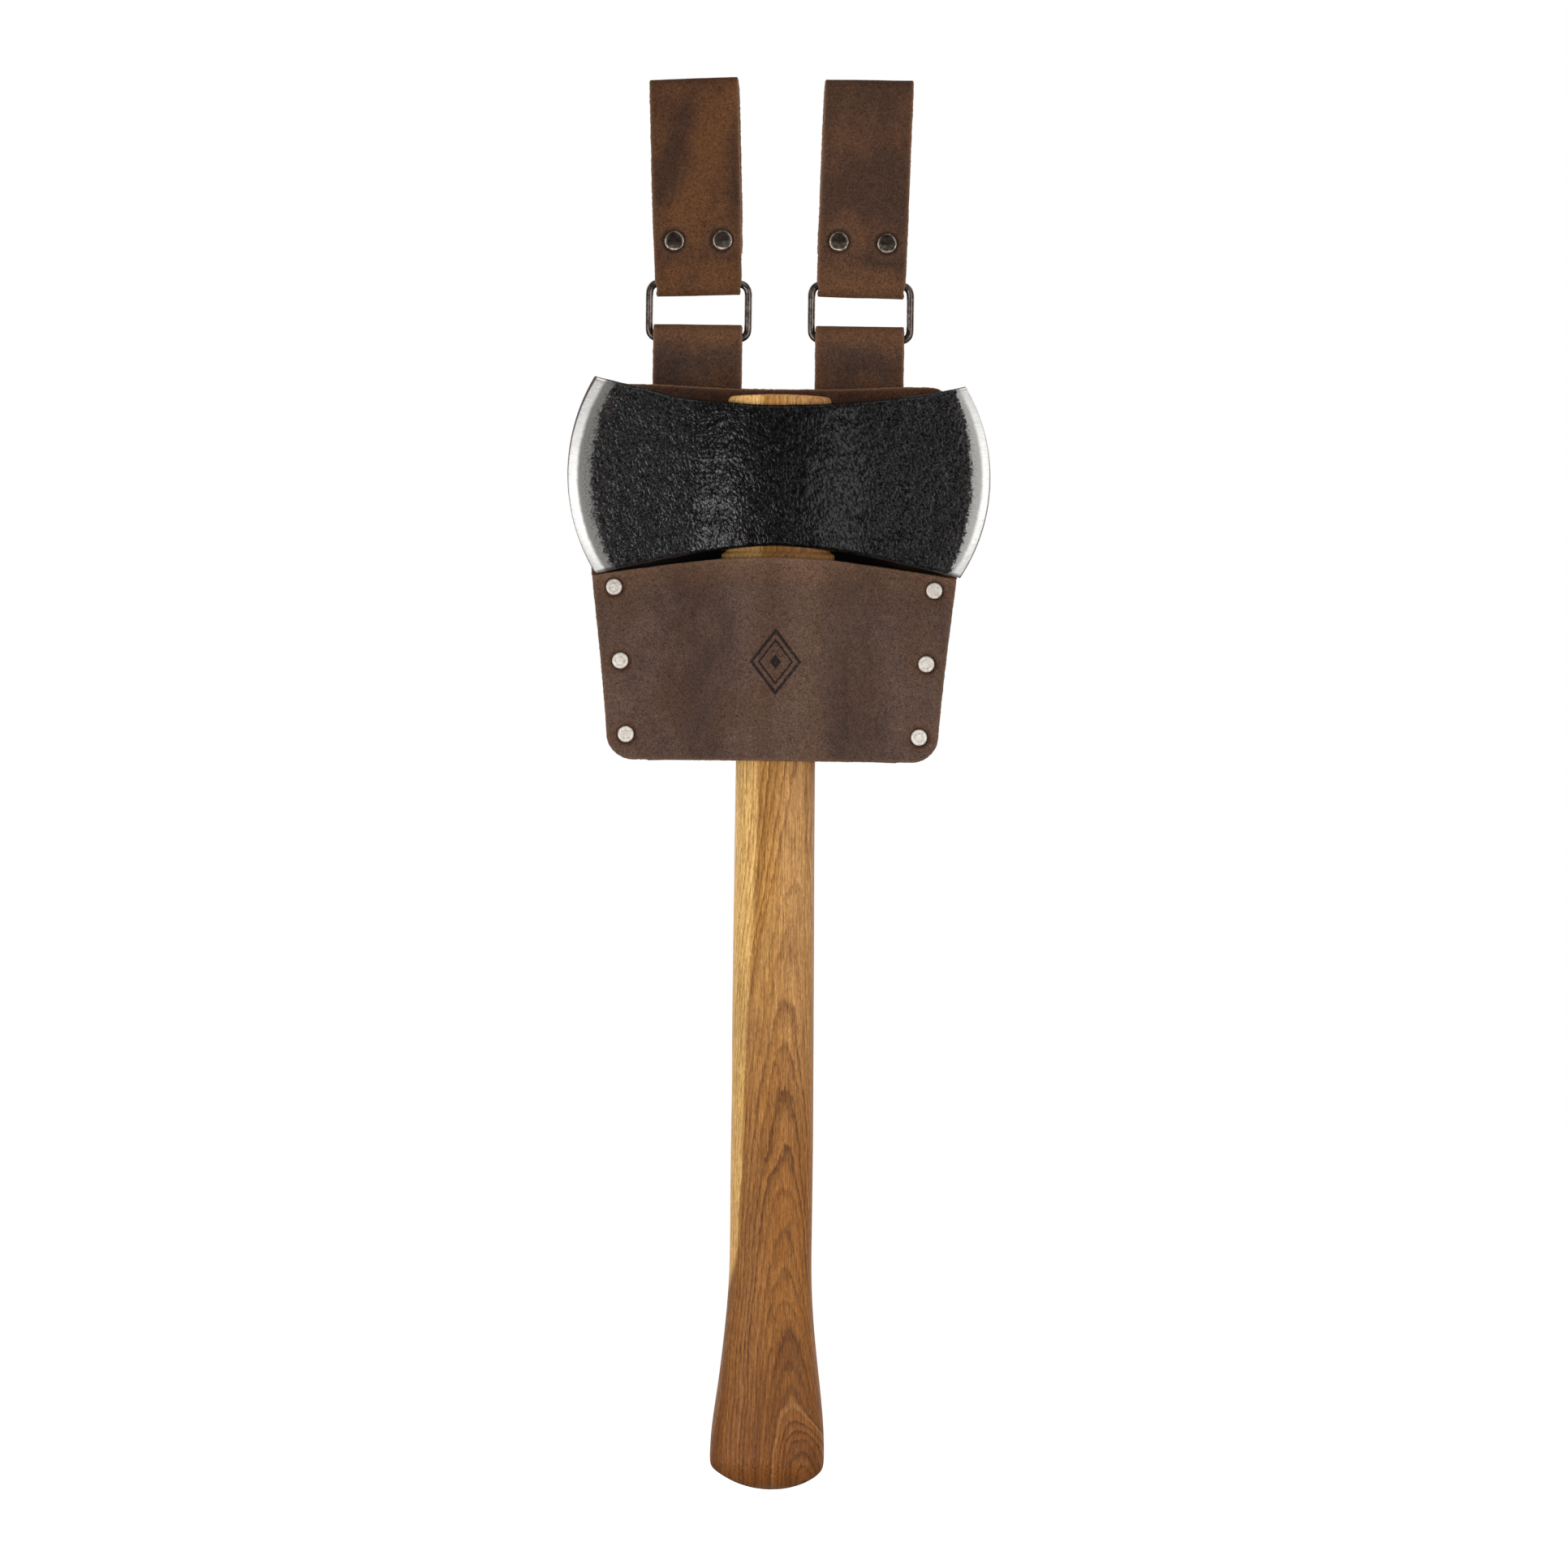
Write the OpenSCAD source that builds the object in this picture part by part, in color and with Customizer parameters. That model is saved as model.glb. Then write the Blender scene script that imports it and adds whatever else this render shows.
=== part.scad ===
// Double-bit hatchet in a leather belt holster.
// Lengths in millimetres. +Z is up as the holster hangs, +X to the right seen from the front,
// and the front is the -Y side. The origin is the middle of the belt line: the belt runs along X
// through both belt loops.

/* [Head] */
// Length of the head from one cutting edge to the other
head_len = 182.4; // [174:0.2:190]
// Height of the top edge above the middle of the head, at the eye
head_up = 30.8; // [28:0.2:33]
// Depth of the bottom edge below the middle of the head, at the eye
head_down = 30.1; // [28:0.1:31]
// Rise of the top edge from the eye to the tips
toe_rise = 10; // [6:0.5:13]
// Drop of the bottom edge from the eye to the tips
heel_drop = 13.1; // [8:0.1:13.1]
// Radius of each curved cutting edge
edge_r = 79.6; // [72:0.2:88]
// Thickness of the head over the eye
cheek_t = 28; // [25:0.5:29]
// Thickness of each blade where its ground bevel starts
blade_t = 6.2; // [5:0.2:7.4]
// Width of the ground bevel
bevel_w = 9.2; // [6:0.2:12]
// Length of the eye along the head
eye_w = 44.8; // [40:0.2:46]
// Width of the eye across the head
eye_d = 19; // [16:0.5:20]

/* [Handle] */
// Width of the shoulder the head sits on
shoulder_w = 48.8; // [46:0.2:49.4]
// Width of the neck inside the pocket
neck_w = 34.4; // [32:0.2:37]
// Width of the grip
grip_w = 36; // [34:0.2:40]
// Depth of the grip, front to back
grip_d = 24; // [21:0.5:25]
// Width of the knob
knob_w = 49.4; // [44:0.2:49.4]
// Depth of the knob, front to back
knob_d = 27; // [24:0.5:27]
// Distance from the middle of the head to the end of the knob
handle_below = 437.3; // [400:0.1:460]
// How far the wood stands out above the eye
tongue_proud = 4.6; // [2:0.2:7]
// Thickness of the wooden wedge at its top
wedge_t = 3.2; // [2.4:0.2:4.2]

/* [Pocket] */
// Thickness of the pocket leather
leather_t = 3; // [2.4:0.1:3.2]
// Half width of the pocket at its mouth
mouth_hw = 78.8; // [77:0.2:81]
// Half width of the pocket at its bottom
foot_hw = 71.5; // [69:0.5:74]
// Depth of the pocket's bottom edge below the middle of the head
foot_z = 123.2; // [121:0.2:132]
// Depth of the front panel's rim below the middle of the head, at the handle
rim_z = 35; // [34.6:0.1:38]
// How much lower the rim is at its ends
rim_drop = 8.4; // [6:0.2:9]
// Height of the back panel's top corners above the middle of the head
back_top = 39.2; // [36:0.2:42]
// Distance from the handle's middle plane to the back panel
back_y = 16; // [15.5:0.1:17]
// Height of the front panel's inside above the back panel, at the handle
dome_d = 30.5; // [30:0.1:33]

/* [Belt loops] */
// Width of the straps
strap_w = 38.1; // [36:0.1:38.5]
// Thickness of the straps
strap_t = 2.8; // [2.2:0.1:3]
// Distance from the middle of the holster to each hanger tab
tab_x = 35; // [32:0.5:38]
// Height of the top of each belt loop above the middle of the head
loop_top = 171.4; // [166:0.2:186]
// Front to back gap inside each belt loop
belt_gap = 8; // [7:0.5:10]
// Outward lean of each belt loop in degrees
loop_lean = 1.65; // [0:0.05:1.7]

/* [Rings] */
// Diameter of the ring wire
wire_d = 3.2; // [2.8:0.1:3.4]
// Width of a ring between wire centres
ring_w = 42.7; // [42.6:0.1:46]
// Height of a ring between wire centres
ring_h = 23.8; // [20:0.2:28]
// Height of the middle of the rings above the middle of the head
ring_z = 71.2; // [70:0.2:76]

/* [Rivets] */
// Diameter of the pocket rivet caps
small_cap_d = 7; // [6:0.1:8]
// Diameter of the strap rivet caps
large_cap_d = 8.7; // [7.5:0.1:9.5]
// Height of a rivet cap
cap_h = 1.3; // [1:0.1:1.5]
// Diameter of the rivet posts
post_d = 3; // [2.4:0.1:3.4]

/* [Hidden] */

fit = 0.05;                              // clearance of a fitted piece all round
gap = 0.1;                               // gap between strap layers
seam = 0.02;                             // gap between the two pocket panels
layer = strap_t + gap;                   // spacing of two strap layers
ring_y = back_y + leather_t + layer;     // plane of the rings
top_bar = ring_z + ring_h / 2;
low_bar = ring_z - ring_h / 2;
strap_eye_r = wire_d / 2 + 1.1 + strap_t / 2;   // strap round a ring bar, to mid leather
front_y = ring_y - strap_eye_r;          // middle of a belt loop's front layer
fold_r = belt_gap / 2 + strap_t / 2;     // strap over the belt, to mid leather
belt_y = front_y + fold_r;
belt_z = 142.5;                          // belt line above the middle of the head

steel = [0.16, 0.16, 0.17];
wedge_steel = [0.55, 0.55, 0.56];
ash = [0.80, 0.56, 0.28];
wedge_wood = [0.72, 0.58, 0.38];
hide = [0.30, 0.20, 0.14];
hide_light = [0.38, 0.25, 0.15];
nickel = [0.78, 0.75, 0.70];
antique = [0.32, 0.30, 0.30];

function clamp(value) = min(1, max(0, value));
function ease(share) = let (u = clamp(share)) u * u * (3 - 2 * u);
function mix(start, end, share) = start + (end - start) * share;
// cosine hump: 1 at 0, falling to 0 at -1 and 1
function hump(share) = (1 + cos(180 * share)) / 2;
function reversed(list) = [for (i = [len(list) - 1:-1:0]) list[i]];
// the same points on the other side of the middle, in reverse order
function flip(points) = [for (point = reversed(points)) [-point[0], point[1]]];
function arc(centre, radius, from, to, steps) =
    [for (i = [0:steps]) let (angle = mix(from, to, i / steps))
        centre + radius * [cos(angle), sin(angle)]];

// a rounded oval; power 2 is an ellipse, larger is squarer
oval_sides = 40;
function signed_pow(value, power) = sign(value) * pow(abs(value), power);
function oval(half_x, half_y, power) =
    [for (i = [0:oval_sides - 1]) let (angle = 360 * (i + 0.5) / oval_sides)
        [half_x * signed_pow(cos(angle), 2 / power), half_y * signed_pow(sin(angle), 2 / power)]];

// everything below is laid out from the middle of the head, then moved to the belt line
module place() translate([0, -belt_y, -belt_z]) children();
// a flat outline in X and Z, as a plate from y to y + thickness
module plate(y, thickness)
    translate([0, y + thickness, 0]) rotate([90, 0, 0]) linear_extrude(thickness) children();
// a section in Y and Z, run along X for a width about x
module across(x, width)
    translate([x - width / 2, 0, 0]) rotate([90, 0, 90]) linear_extrude(width) children();

// ---- head -------------------------------------------------------------------------------

tip_x = 80;                              // where the rise and drop are measured
outline_x = 96;                          // half length of the outline, beyond the edges
outline_step = 8;
column_h = 160;                          // taller than the head
eye_power = 2.6;
bulge_hw = 62;                           // half length of the swelling round the eye
bulge_foot = 2;                          // half thickness of the swelling where it dies away
bulge_steps = 16;
edge_half = 0.15;                        // half thickness of the honed edge
taper = 0.055;                           // half the blade thickens by this per mm inwards

function top_z(x) = head_up + toe_rise * pow(abs(x) / tip_x, 2);
function low_z(x) = -head_down - heel_drop * pow(abs(x) / tip_x, 1.6);
head_xs = [for (x = [-outline_x:outline_step:outline_x]) x];
head_outline = concat([for (x = head_xs) [x, top_z(x)]],
                      [for (x = reversed(head_xs)) [x, low_z(x)]]);

function bulge_y(x) = bulge_foot + (cheek_t / 2 - bulge_foot) * hump(x / bulge_hw);
bulge_xs = [for (i = [-bulge_steps:bulge_steps]) bulge_hw * i / bulge_steps];
bulge_outline = concat([for (x = bulge_xs) [x, bulge_y(x)]],
                       [for (x = reversed(bulge_xs)) [x, -bulge_y(x)]]);

// an outline in X and Y, as a column through the head
module head_column() translate([0, 0, -column_h / 2]) linear_extrude(column_h) children();

// one blade: a disc about its edge's centre, thin at the rim, with the ground bevel
module bit(side) {
    bevel_r = edge_r - bevel_w;
    bevel_half = blade_t / 2;
    middle_half = bevel_half + taper * bevel_r;
    translate([side * (head_len / 2 - edge_r), 0, 0]) rotate([90, 0, 0])
        rotate_extrude($fn = 180) polygon([
            [0, -middle_half], [bevel_r, -bevel_half], [edge_r, -edge_half],
            [edge_r, edge_half], [bevel_r, bevel_half], [0, middle_half]]);
}

// the space on one side of the middle
module half_space(side)
    translate([side < 0 ? -120 : 0, -30, -column_h / 2]) cube([120, 60, column_h]);

module axe_head() {
    color(steel) place() difference() {
        intersection() {
            plate(-20, 40) polygon(head_outline);
            union() {
                for (side = [-1, 1]) intersection() {
                    bit(side);
                    half_space(side);
                }
                head_column() polygon(bulge_outline);
            }
        }
        head_column() polygon(oval(eye_w / 2, eye_d / 2, eye_power));
    }
}

// ---- handle -----------------------------------------------------------------------------

tongue_top = head_up + tongue_proud;
seat_z = low_z(eye_w / 2) - 0.4;         // the tongue ends and the shoulder starts here
shoulder_z = seat_z - 1.9;               // top of the shoulder's full width
shoulder_foot = shoulder_z - 3;          // and its bottom
shoulder_run = 44;                       // length the width takes to narrow to the neck
shoulder_d = 22;
neck_d = 23;
neck_run = 60;                           // length the depth takes to reach the neck's
neck_top = -80;
neck_foot = -127;
grip_run = 120;                          // length the neck takes to become the grip
end_z = -handle_below;
knob_z = end_z + 15.3;                   // widest point of the knob
flare_h = 91;                            // height of the flare from the grip to the knob
flare_z = knob_z + flare_h;
end_r = 33.9;                            // radius of the knob's rounded end

function handle_half_w(z) =
    z > seat_z ? eye_w / 2 - fit
  : z > neck_top ? mix(shoulder_w, neck_w, ease((shoulder_foot - z) / shoulder_run)) / 2
  : z > neck_foot ? neck_w / 2
  : z > flare_z ? mix(neck_w, grip_w, ease((neck_foot - z) / grip_run)) / 2
  : mix(grip_w, knob_w, ease(pow(clamp((flare_z - z) / flare_h), 1.2))) / 2;
function handle_half_d(z) =
    z > seat_z ? eye_d / 2 - fit
  : z > neck_foot ? mix(shoulder_d, neck_d, ease((shoulder_z - z) / neck_run)) / 2
  : z > flare_z ? mix(neck_d, grip_d, ease((neck_foot - z) / grip_run)) / 2
  : mix(grip_d, knob_d, ease((flare_z - z) / flare_h)) / 2;
function handle_power(z) =
    z > seat_z ? eye_power : mix(2.5, 2.25, ease((shoulder_z - z) / neck_run));
// share of the knob's width left by its rounded end
function end_share(z) = sqrt(max(0, pow(end_r, 2) - pow(z - end_z - end_r, 2))) / (knob_w / 2);

// stations down the handle: [height, share of the full section]
handle_stations = concat(
    [[tongue_top, 0.90], [tongue_top - 0.5, 0.955], [tongue_top - 1.8, 1]],
    [[head_up / 2, 1], [seat_z + 0.01, 1], [shoulder_z, 1], [shoulder_foot, 1]],
    [for (z = [-44:-9:neck_top]) [z, 1]],
    [[neck_foot, 1]],
    [for (i = [1:4]) [mix(neck_foot, flare_z, i / 4), 1]],
    [for (i = [1:9]) [mix(flare_z, knob_z, i / 9), 1]],
    [[knob_z - 4, 0.99]],
    [for (i = [1:5]) let (z = mix(end_z + 9, end_z + 0.4, pow(i / 5, 0.7)))
        [z, min(0.97, end_share(z))]]);

function handle_ring(z, share) =
    [for (point = oval(handle_half_w(z) * share, handle_half_d(z) * share, handle_power(z)))
        [point[0], point[1], z]];

// a solid through level rings of points listed from the top down, closed by a fan at each end
module loft(rings) {
    count = len(rings[0]);
    last = len(rings) - 1;
    top_centre = len(rings) * count;
    function next(j) = (j + 1) % count;
    polyhedron(
        points = concat([for (ring = rings) each ring],
                        [[0, 0, rings[0][0][2]], [0, 0, rings[last][0][2]]]),
        faces = concat(
            [for (i = [0:last - 1], j = [0:count - 1])
                [i * count + j, i * count + next(j), (i + 1) * count + next(j)]],
            [for (i = [0:last - 1], j = [0:count - 1])
                [i * count + j, (i + 1) * count + next(j), (i + 1) * count + j]],
            [for (j = [0:count - 1]) [top_centre, next(j), j]],
            [for (j = [0:count - 1])
                [top_centre + 1, last * count + j, last * count + next(j)]]));
}

wedge_foot = -6;                         // lower end of the wooden wedge
steel_w = 13;                            // width of the steel wedge, across the wooden one
steel_h = 15;                            // depth of its foot below the top of the tongue
steel_foot = tongue_top - steel_h;

// a wedge section grown all round, running on past the top of the tongue
function wedge_section(foot_half, top_half, foot, grow) = [
    [-foot_half - grow, foot - 2 * grow], [foot_half + grow, foot - 2 * grow],
    [top_half + grow, tongue_top + 1], [-top_half - grow, tongue_top + 1]];

module wooden_blank(grow)
    across(0, 60) polygon(wedge_section(0.5, wedge_t / 2, wedge_foot, grow));

module steel_blank(grow)
    plate(-steel_w / 2 - grow, steel_w + 2 * grow)
        polygon(wedge_section(0.3, 1.1, steel_foot, grow));

module handle() {
    color(ash) place() difference() {
        loft([for (station = handle_stations) handle_ring(station[0], station[1])]);
        wooden_blank(fit);
        steel_blank(fit);
    }
}

module wooden_wedge() {
    low = wedge_foot - 2;
    color(wedge_wood) place() difference() {
        intersection() {
            wooden_blank(0);
            translate([0, 0, low]) linear_extrude(tongue_top - 0.3 - low)
                polygon(oval(eye_w / 2 - 1, eye_d / 2, eye_power));
        }
        steel_blank(fit);
    }
}

module steel_wedge() {
    color(wedge_steel) place() intersection() {
        steel_blank(0);
        translate([-5, -10, steel_foot]) cube([10, 20, steel_h - 0.1]);
    }
}

// ---- rivets -----------------------------------------------------------------------------

cap_gap = 0.03;                          // gap between a cap and the leather
post_reach = cap_h * 0.6;                // how far a post enters the front cap
rivet_dx = 10.4;                         // strap rivets from the middle of the strap
hanger_z = 22;                           // hanger rivets above the middle of the head
rivet_z = 101.6;                         // belt loop rivets above the middle of the head

// a flat-topped cap with a rounded rim; its top faces -Z
module cap_shape(cap_d, dished) {
    radius = cap_d / 2;
    rim_r = cap_h * 0.62;
    flat_r = radius - rim_r;
    dish = 0.12;
    rotate_extrude($fn = 64) polygon(concat(
        [[0, dished ? dish : 0]],
        dished ? [[flat_r - 0.5, dish], [flat_r - 0.2, 0]] : [],
        [for (i = [0:5]) [flat_r + rim_r * sin(18 * i), rim_r - rim_r * cos(18 * i)]],
        [[radius, cap_h], [0, cap_h]]));
}

// a back cap on the leather's back face, with a post running past its front face
module rivet_post(back, front, cap_d) {
    sunk = 0.5;                          // overlap of the post and its cap
    translate([0, back, 0]) rotate([90, 0, 0]) {
        translate([0, 0, -cap_h - cap_gap]) cap_shape(cap_d, dished = false);
        translate([0, 0, -sunk])
            cylinder(h = back - front + sunk + post_reach, d = post_d, $fn = 32);
    }
}

// the cap pressed on the post's front end
module rivet_cap(front, cap_d) {
    translate([0, front, 0]) rotate([90, 0, 0]) difference() {
        translate([0, 0, cap_h + cap_gap]) rotate([180, 0, 0]) cap_shape(cap_d, dished = true);
        translate([0, 0, -1])
            cylinder(h = 1 + post_reach + 2 * fit, d = post_d + 2 * fit, $fn = 32);
    }
}

// cuts a post's hole right through the leather
module rivet_hole()
    translate([0, 40, 0]) rotate([90, 0, 0]) cylinder(h = 60, d = post_d + 2 * fit, $fn = 32);

// the two rivets side by side in a strap
module at_pair(z) for (side = [-1, 1]) translate([side * rivet_dx, 0, z]) children();

module at_hanger_rivets()
    for (side = [-1, 1]) translate([side * tab_x, 0, 0]) at_pair(hanger_z) children();

// ---- pocket -----------------------------------------------------------------------------

corner_r = 10.5;                         // bottom corners
side_low = -foot_z + 11;                 // the sides start to spread here
side_high = -43.5;                       // and reach the mouth's width here
back_hw = mouth_hw + 0.4;                // half width of the back panel above the mouth
back_corner_r = 14;
back_dip = 1.6;                          // dip of the back panel's top edge at the middle
back_dip_hw = 52;                        // half length of that dip

function side_x(z) =
    mix(foot_hw, mouth_hw, pow(clamp((z - side_low) / (side_high - side_low)), 1.2));
function rim(x) = -rim_z - rim_drop * pow(abs(x) / mouth_hw, 1.6);
mouth_z = rim(mouth_hw);

// bottom right corner and right side, from the bottom up
lower_right = concat(
    arc([foot_hw - corner_r - 0.3, -foot_z + corner_r], corner_r, -90, -8, 8),
    [for (i = [0:8]) let (z = mix(-foot_z + 14, mouth_z, i / 8)) [side_x(z), z]]);
front_outline = concat(
    lower_right,
    [for (i = [9:-1:-9]) let (x = mouth_hw * i / 10) [x, rim(x)]],
    flip(lower_right));
back_right = concat(
    lower_right,
    [[back_hw, -20]],
    arc([back_hw - back_corner_r, back_top - back_corner_r], back_corner_r, 0, 90, 8));
back_outline = concat(
    back_right,
    [for (i = [4:-1:-4]) [back_dip_hw * i / 4, back_top - back_dip * (1 - pow(i / 4, 2))]],
    flip(back_right));

// pocket rivets down each side: [height, distance in from the side]
rivet_rows = [[-48.7, 8.9], [-80.5, 8.4], [-112.2, 8.4]];
module at_pocket_rivets()
    for (side = [-1, 1], row = rivet_rows)
        translate([side * (side_x(row[0]) - row[1]), 0, row[0]]) children();

dome_in = 8;                             // the dome is flat this far from the middle
dome_out = 54;                           // and meets the back panel here
flange_x = 90;                           // the section runs flat to here, past the outline
slope_step = 0.05;
function dome_y(x) = back_y - seam
    - (dome_d - seam) * hump(clamp((abs(x) - dome_in) / (dome_out - dome_in)));
function dome_slope(x) = (dome_y(x + slope_step) - dome_y(x - slope_step)) / (2 * slope_step);
// the outside of the leather, square to its inside at x
function dome_outside(x) =
    let (slope = dome_slope(x), run = sqrt(1 + slope * slope))
        [x + leather_t * slope / run, dome_y(x) - leather_t / run];
dome_xs = concat([-flange_x], [for (i = [-15:15]) dome_out * i / 15], [flange_x]);
dome_section = concat([for (x = dome_xs) [x, dome_y(x)]],
                      [for (x = reversed(dome_xs)) dome_outside(x)]);

module back_panel() {
    color(hide) place() difference() {
        plate(back_y, leather_t) polygon(back_outline);
        at_pocket_rivets() rivet_hole();
        at_hanger_rivets() rivet_hole();
    }
}

module front_panel() {
    color(hide_light) place() difference() {
        intersection() {
            translate([0, 0, -140]) linear_extrude(120) polygon(dome_section);
            plate(-30, 60) polygon(front_outline);
        }
        at_pocket_rivets() rivet_hole();
    }
}

pocket_back = back_y + leather_t;
pocket_front = back_y - seam - leather_t;

module pocket_rivet_posts()
    color(nickel) place() at_pocket_rivets() rivet_post(pocket_back, pocket_front, small_cap_d);

module pocket_rivet_caps()
    color(nickel) place() at_pocket_rivets() rivet_cap(pocket_front, small_cap_d);

// ---- straps -----------------------------------------------------------------------------

function unit(vector) = vector / norm(vector);
function heading(path, i) = unit(path[i + 1] - path[i]);
// the sideways step at a point of the path, lengthened at bends to keep the thickness
function mitre(path, i) =
    let (ahead = heading(path, min(i, len(path) - 2)),
         behind = heading(path, max(i - 1, 0)),
         middle = unit([-(ahead[1] + behind[1]), ahead[0] + behind[0]]))
        middle / max(0.5, middle * [-ahead[1], ahead[0]]);
function beside(path, by) = [for (i = [0:len(path) - 1]) path[i] + mitre(path, i) * by];
// the outline of a strap along the path
function ribbon(path) = concat(beside(path, strap_t / 2), reversed(beside(path, -strap_t / 2)));

// hanger tab: up behind the back panel, over the ring's lower bar and down again
tab_foot = 8;
tab_bend_z = low_bar - 13;               // the layers part here to go round the bar
tab_path = concat(
    [[ring_y - layer / 2, tab_foot], [ring_y - layer / 2, tab_bend_z]],
    arc([ring_y, low_bar], strap_eye_r, 180, 0, 14),
    [[ring_y + layer / 2, tab_bend_z], [ring_y + layer / 2, tab_foot + 2]]);
hanger_back = ring_y + gap / 2 + strap_t;

module hanger_tab(side) {
    color(hide) place() difference() {
        across(side * tab_x, strap_w) polygon(ribbon(tab_path));
        at_hanger_rivets() rivet_hole();
    }
}

module left_hanger_tab() hanger_tab(-1);
module right_hanger_tab() hanger_tab(1);

module hanger_rivet_posts()
    color(antique) place() at_hanger_rivets() rivet_post(hanger_back, back_y, large_cap_d);

module hanger_rivet_caps()
    color(antique) place() at_hanger_rivets() rivet_cap(back_y, large_cap_d);

// belt loop: a tail behind the front layer, round the ring's upper bar, up the front,
// over the belt and down the back to the rivets
tail_y = front_y + layer;
rear_y = tail_y + layer;
fold_z = loop_top - fold_r - strap_t / 2;
loop_path = concat(
    [[tail_y, rivet_z + 8.4], [tail_y, top_bar + 11.5]],
    arc([ring_y, top_bar], strap_eye_r, 0, -180, 14),
    arc([belt_y, fold_z], fold_r, 180, 0, 14),
    [[belt_y + fold_r, rivet_z + 22], [rear_y, rivet_z + 8], [rear_y, rivet_z - 5.6]]);
loop_back = rear_y + strap_t / 2;
loop_front = front_y - strap_t / 2;

// moves a loop to its ring and leans it outwards
module at_loop(side)
    translate([side * tab_x, 0, top_bar]) rotate([0, side * loop_lean, 0])
        translate([0, 0, -top_bar]) children();

module belt_loop(side) {
    color(hide_light) place() at_loop(side) difference() {
        across(0, strap_w) polygon(ribbon(loop_path));
        at_pair(rivet_z) rivet_hole();
    }
}

module loop_posts(side)
    color(antique) place() at_loop(side) at_pair(rivet_z)
        rivet_post(loop_back, loop_front, large_cap_d);

module loop_caps(side)
    color(antique) place() at_loop(side) at_pair(rivet_z) rivet_cap(loop_front, large_cap_d);

module left_belt_loop() belt_loop(-1);
module right_belt_loop() belt_loop(1);
module left_loop_rivet_posts() loop_posts(-1);
module right_loop_rivet_posts() loop_posts(1);
module left_loop_rivet_caps() loop_caps(-1);
module right_loop_rivet_caps() loop_caps(1);

// ---- rings ------------------------------------------------------------------------------

bend_r = 3.6;                            // ring corner radius, to the middle of the wire
// ring corners: [side in X, side in Z, turn in degrees]
ring_corners = [[1, 1, 0], [-1, 1, 90], [-1, -1, 180], [1, -1, 270]];

// a rectangular wire ring in the XZ plane
module ring(side) {
    wire_r = wire_d / 2;
    bar_x = ring_w / 2 - bend_r;         // half lengths of the straight bars
    bar_z = ring_h / 2 - bend_r;
    color(antique) place() translate([side * tab_x, ring_y, ring_z]) {
        for (end = [-1, 1]) {
            translate([-bar_x, 0, end * ring_h / 2]) rotate([0, 90, 0])
                cylinder(h = 2 * bar_x, r = wire_r, $fn = 32);
            translate([end * ring_w / 2, 0, -bar_z])
                cylinder(h = 2 * bar_z, r = wire_r, $fn = 32);
        }
        for (corner = ring_corners)
            translate([corner[0] * bar_x, 0, corner[1] * bar_z])
                rotate([90, 0, 0]) rotate([0, 0, corner[2]])
                    rotate_extrude(angle = 90, $fn = 64)
                        translate([bend_r, 0]) circle(r = wire_r, $fn = 32);
    }
}

module left_ring() ring(-1);
module right_ring() ring(1);

axe_head();
handle();
wooden_wedge();
steel_wedge();
back_panel();
front_panel();
pocket_rivet_posts();
pocket_rivet_caps();
left_hanger_tab();
right_hanger_tab();
hanger_rivet_posts();
hanger_rivet_caps();
left_ring();
right_ring();
left_belt_loop();
left_loop_rivet_posts();
left_loop_rivet_caps();
right_belt_loop();
right_loop_rivet_posts();
right_loop_rivet_caps();
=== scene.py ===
# A double-bitted axe hanging in a leather holster: the head rests above the pocket, the haft
# runs down through it, and two straps with wire rings carry the pocket from above.
# The head's length lies along X, the pocket's front faces -Y, and the haft hangs down -Z.
import math

import bmesh
import bpy
import numpy as np
from mathutils import Matrix, Vector


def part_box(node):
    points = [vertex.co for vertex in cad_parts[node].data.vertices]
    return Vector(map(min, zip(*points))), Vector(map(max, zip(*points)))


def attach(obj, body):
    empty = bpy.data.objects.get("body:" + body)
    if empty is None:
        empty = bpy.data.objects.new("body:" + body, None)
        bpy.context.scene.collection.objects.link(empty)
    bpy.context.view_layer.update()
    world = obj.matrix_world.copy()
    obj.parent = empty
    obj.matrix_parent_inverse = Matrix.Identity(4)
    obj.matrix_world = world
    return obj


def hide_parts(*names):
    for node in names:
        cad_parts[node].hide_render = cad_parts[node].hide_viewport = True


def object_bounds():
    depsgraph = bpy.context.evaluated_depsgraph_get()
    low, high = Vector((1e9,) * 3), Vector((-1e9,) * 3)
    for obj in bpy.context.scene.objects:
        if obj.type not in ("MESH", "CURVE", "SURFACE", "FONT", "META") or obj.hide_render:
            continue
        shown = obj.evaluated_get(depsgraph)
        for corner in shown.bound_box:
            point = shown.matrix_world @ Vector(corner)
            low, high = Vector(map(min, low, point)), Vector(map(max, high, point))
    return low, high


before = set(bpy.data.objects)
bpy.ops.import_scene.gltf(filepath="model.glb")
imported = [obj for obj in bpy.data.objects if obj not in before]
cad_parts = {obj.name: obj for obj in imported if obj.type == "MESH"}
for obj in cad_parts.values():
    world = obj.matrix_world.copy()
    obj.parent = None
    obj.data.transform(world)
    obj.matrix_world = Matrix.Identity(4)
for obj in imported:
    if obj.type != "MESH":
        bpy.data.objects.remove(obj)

cad_low, cad_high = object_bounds()


# ------------------------------------------------------------------ layout
# Pieces are laid out in millimetres from the middle of the head, then moved into the frame.
def middle(box, axis):
    return (box[0][axis] + box[1][axis]) * 500


def half_span(box, axis):
    return (box[1][axis] - box[0][axis]) * 500


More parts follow.
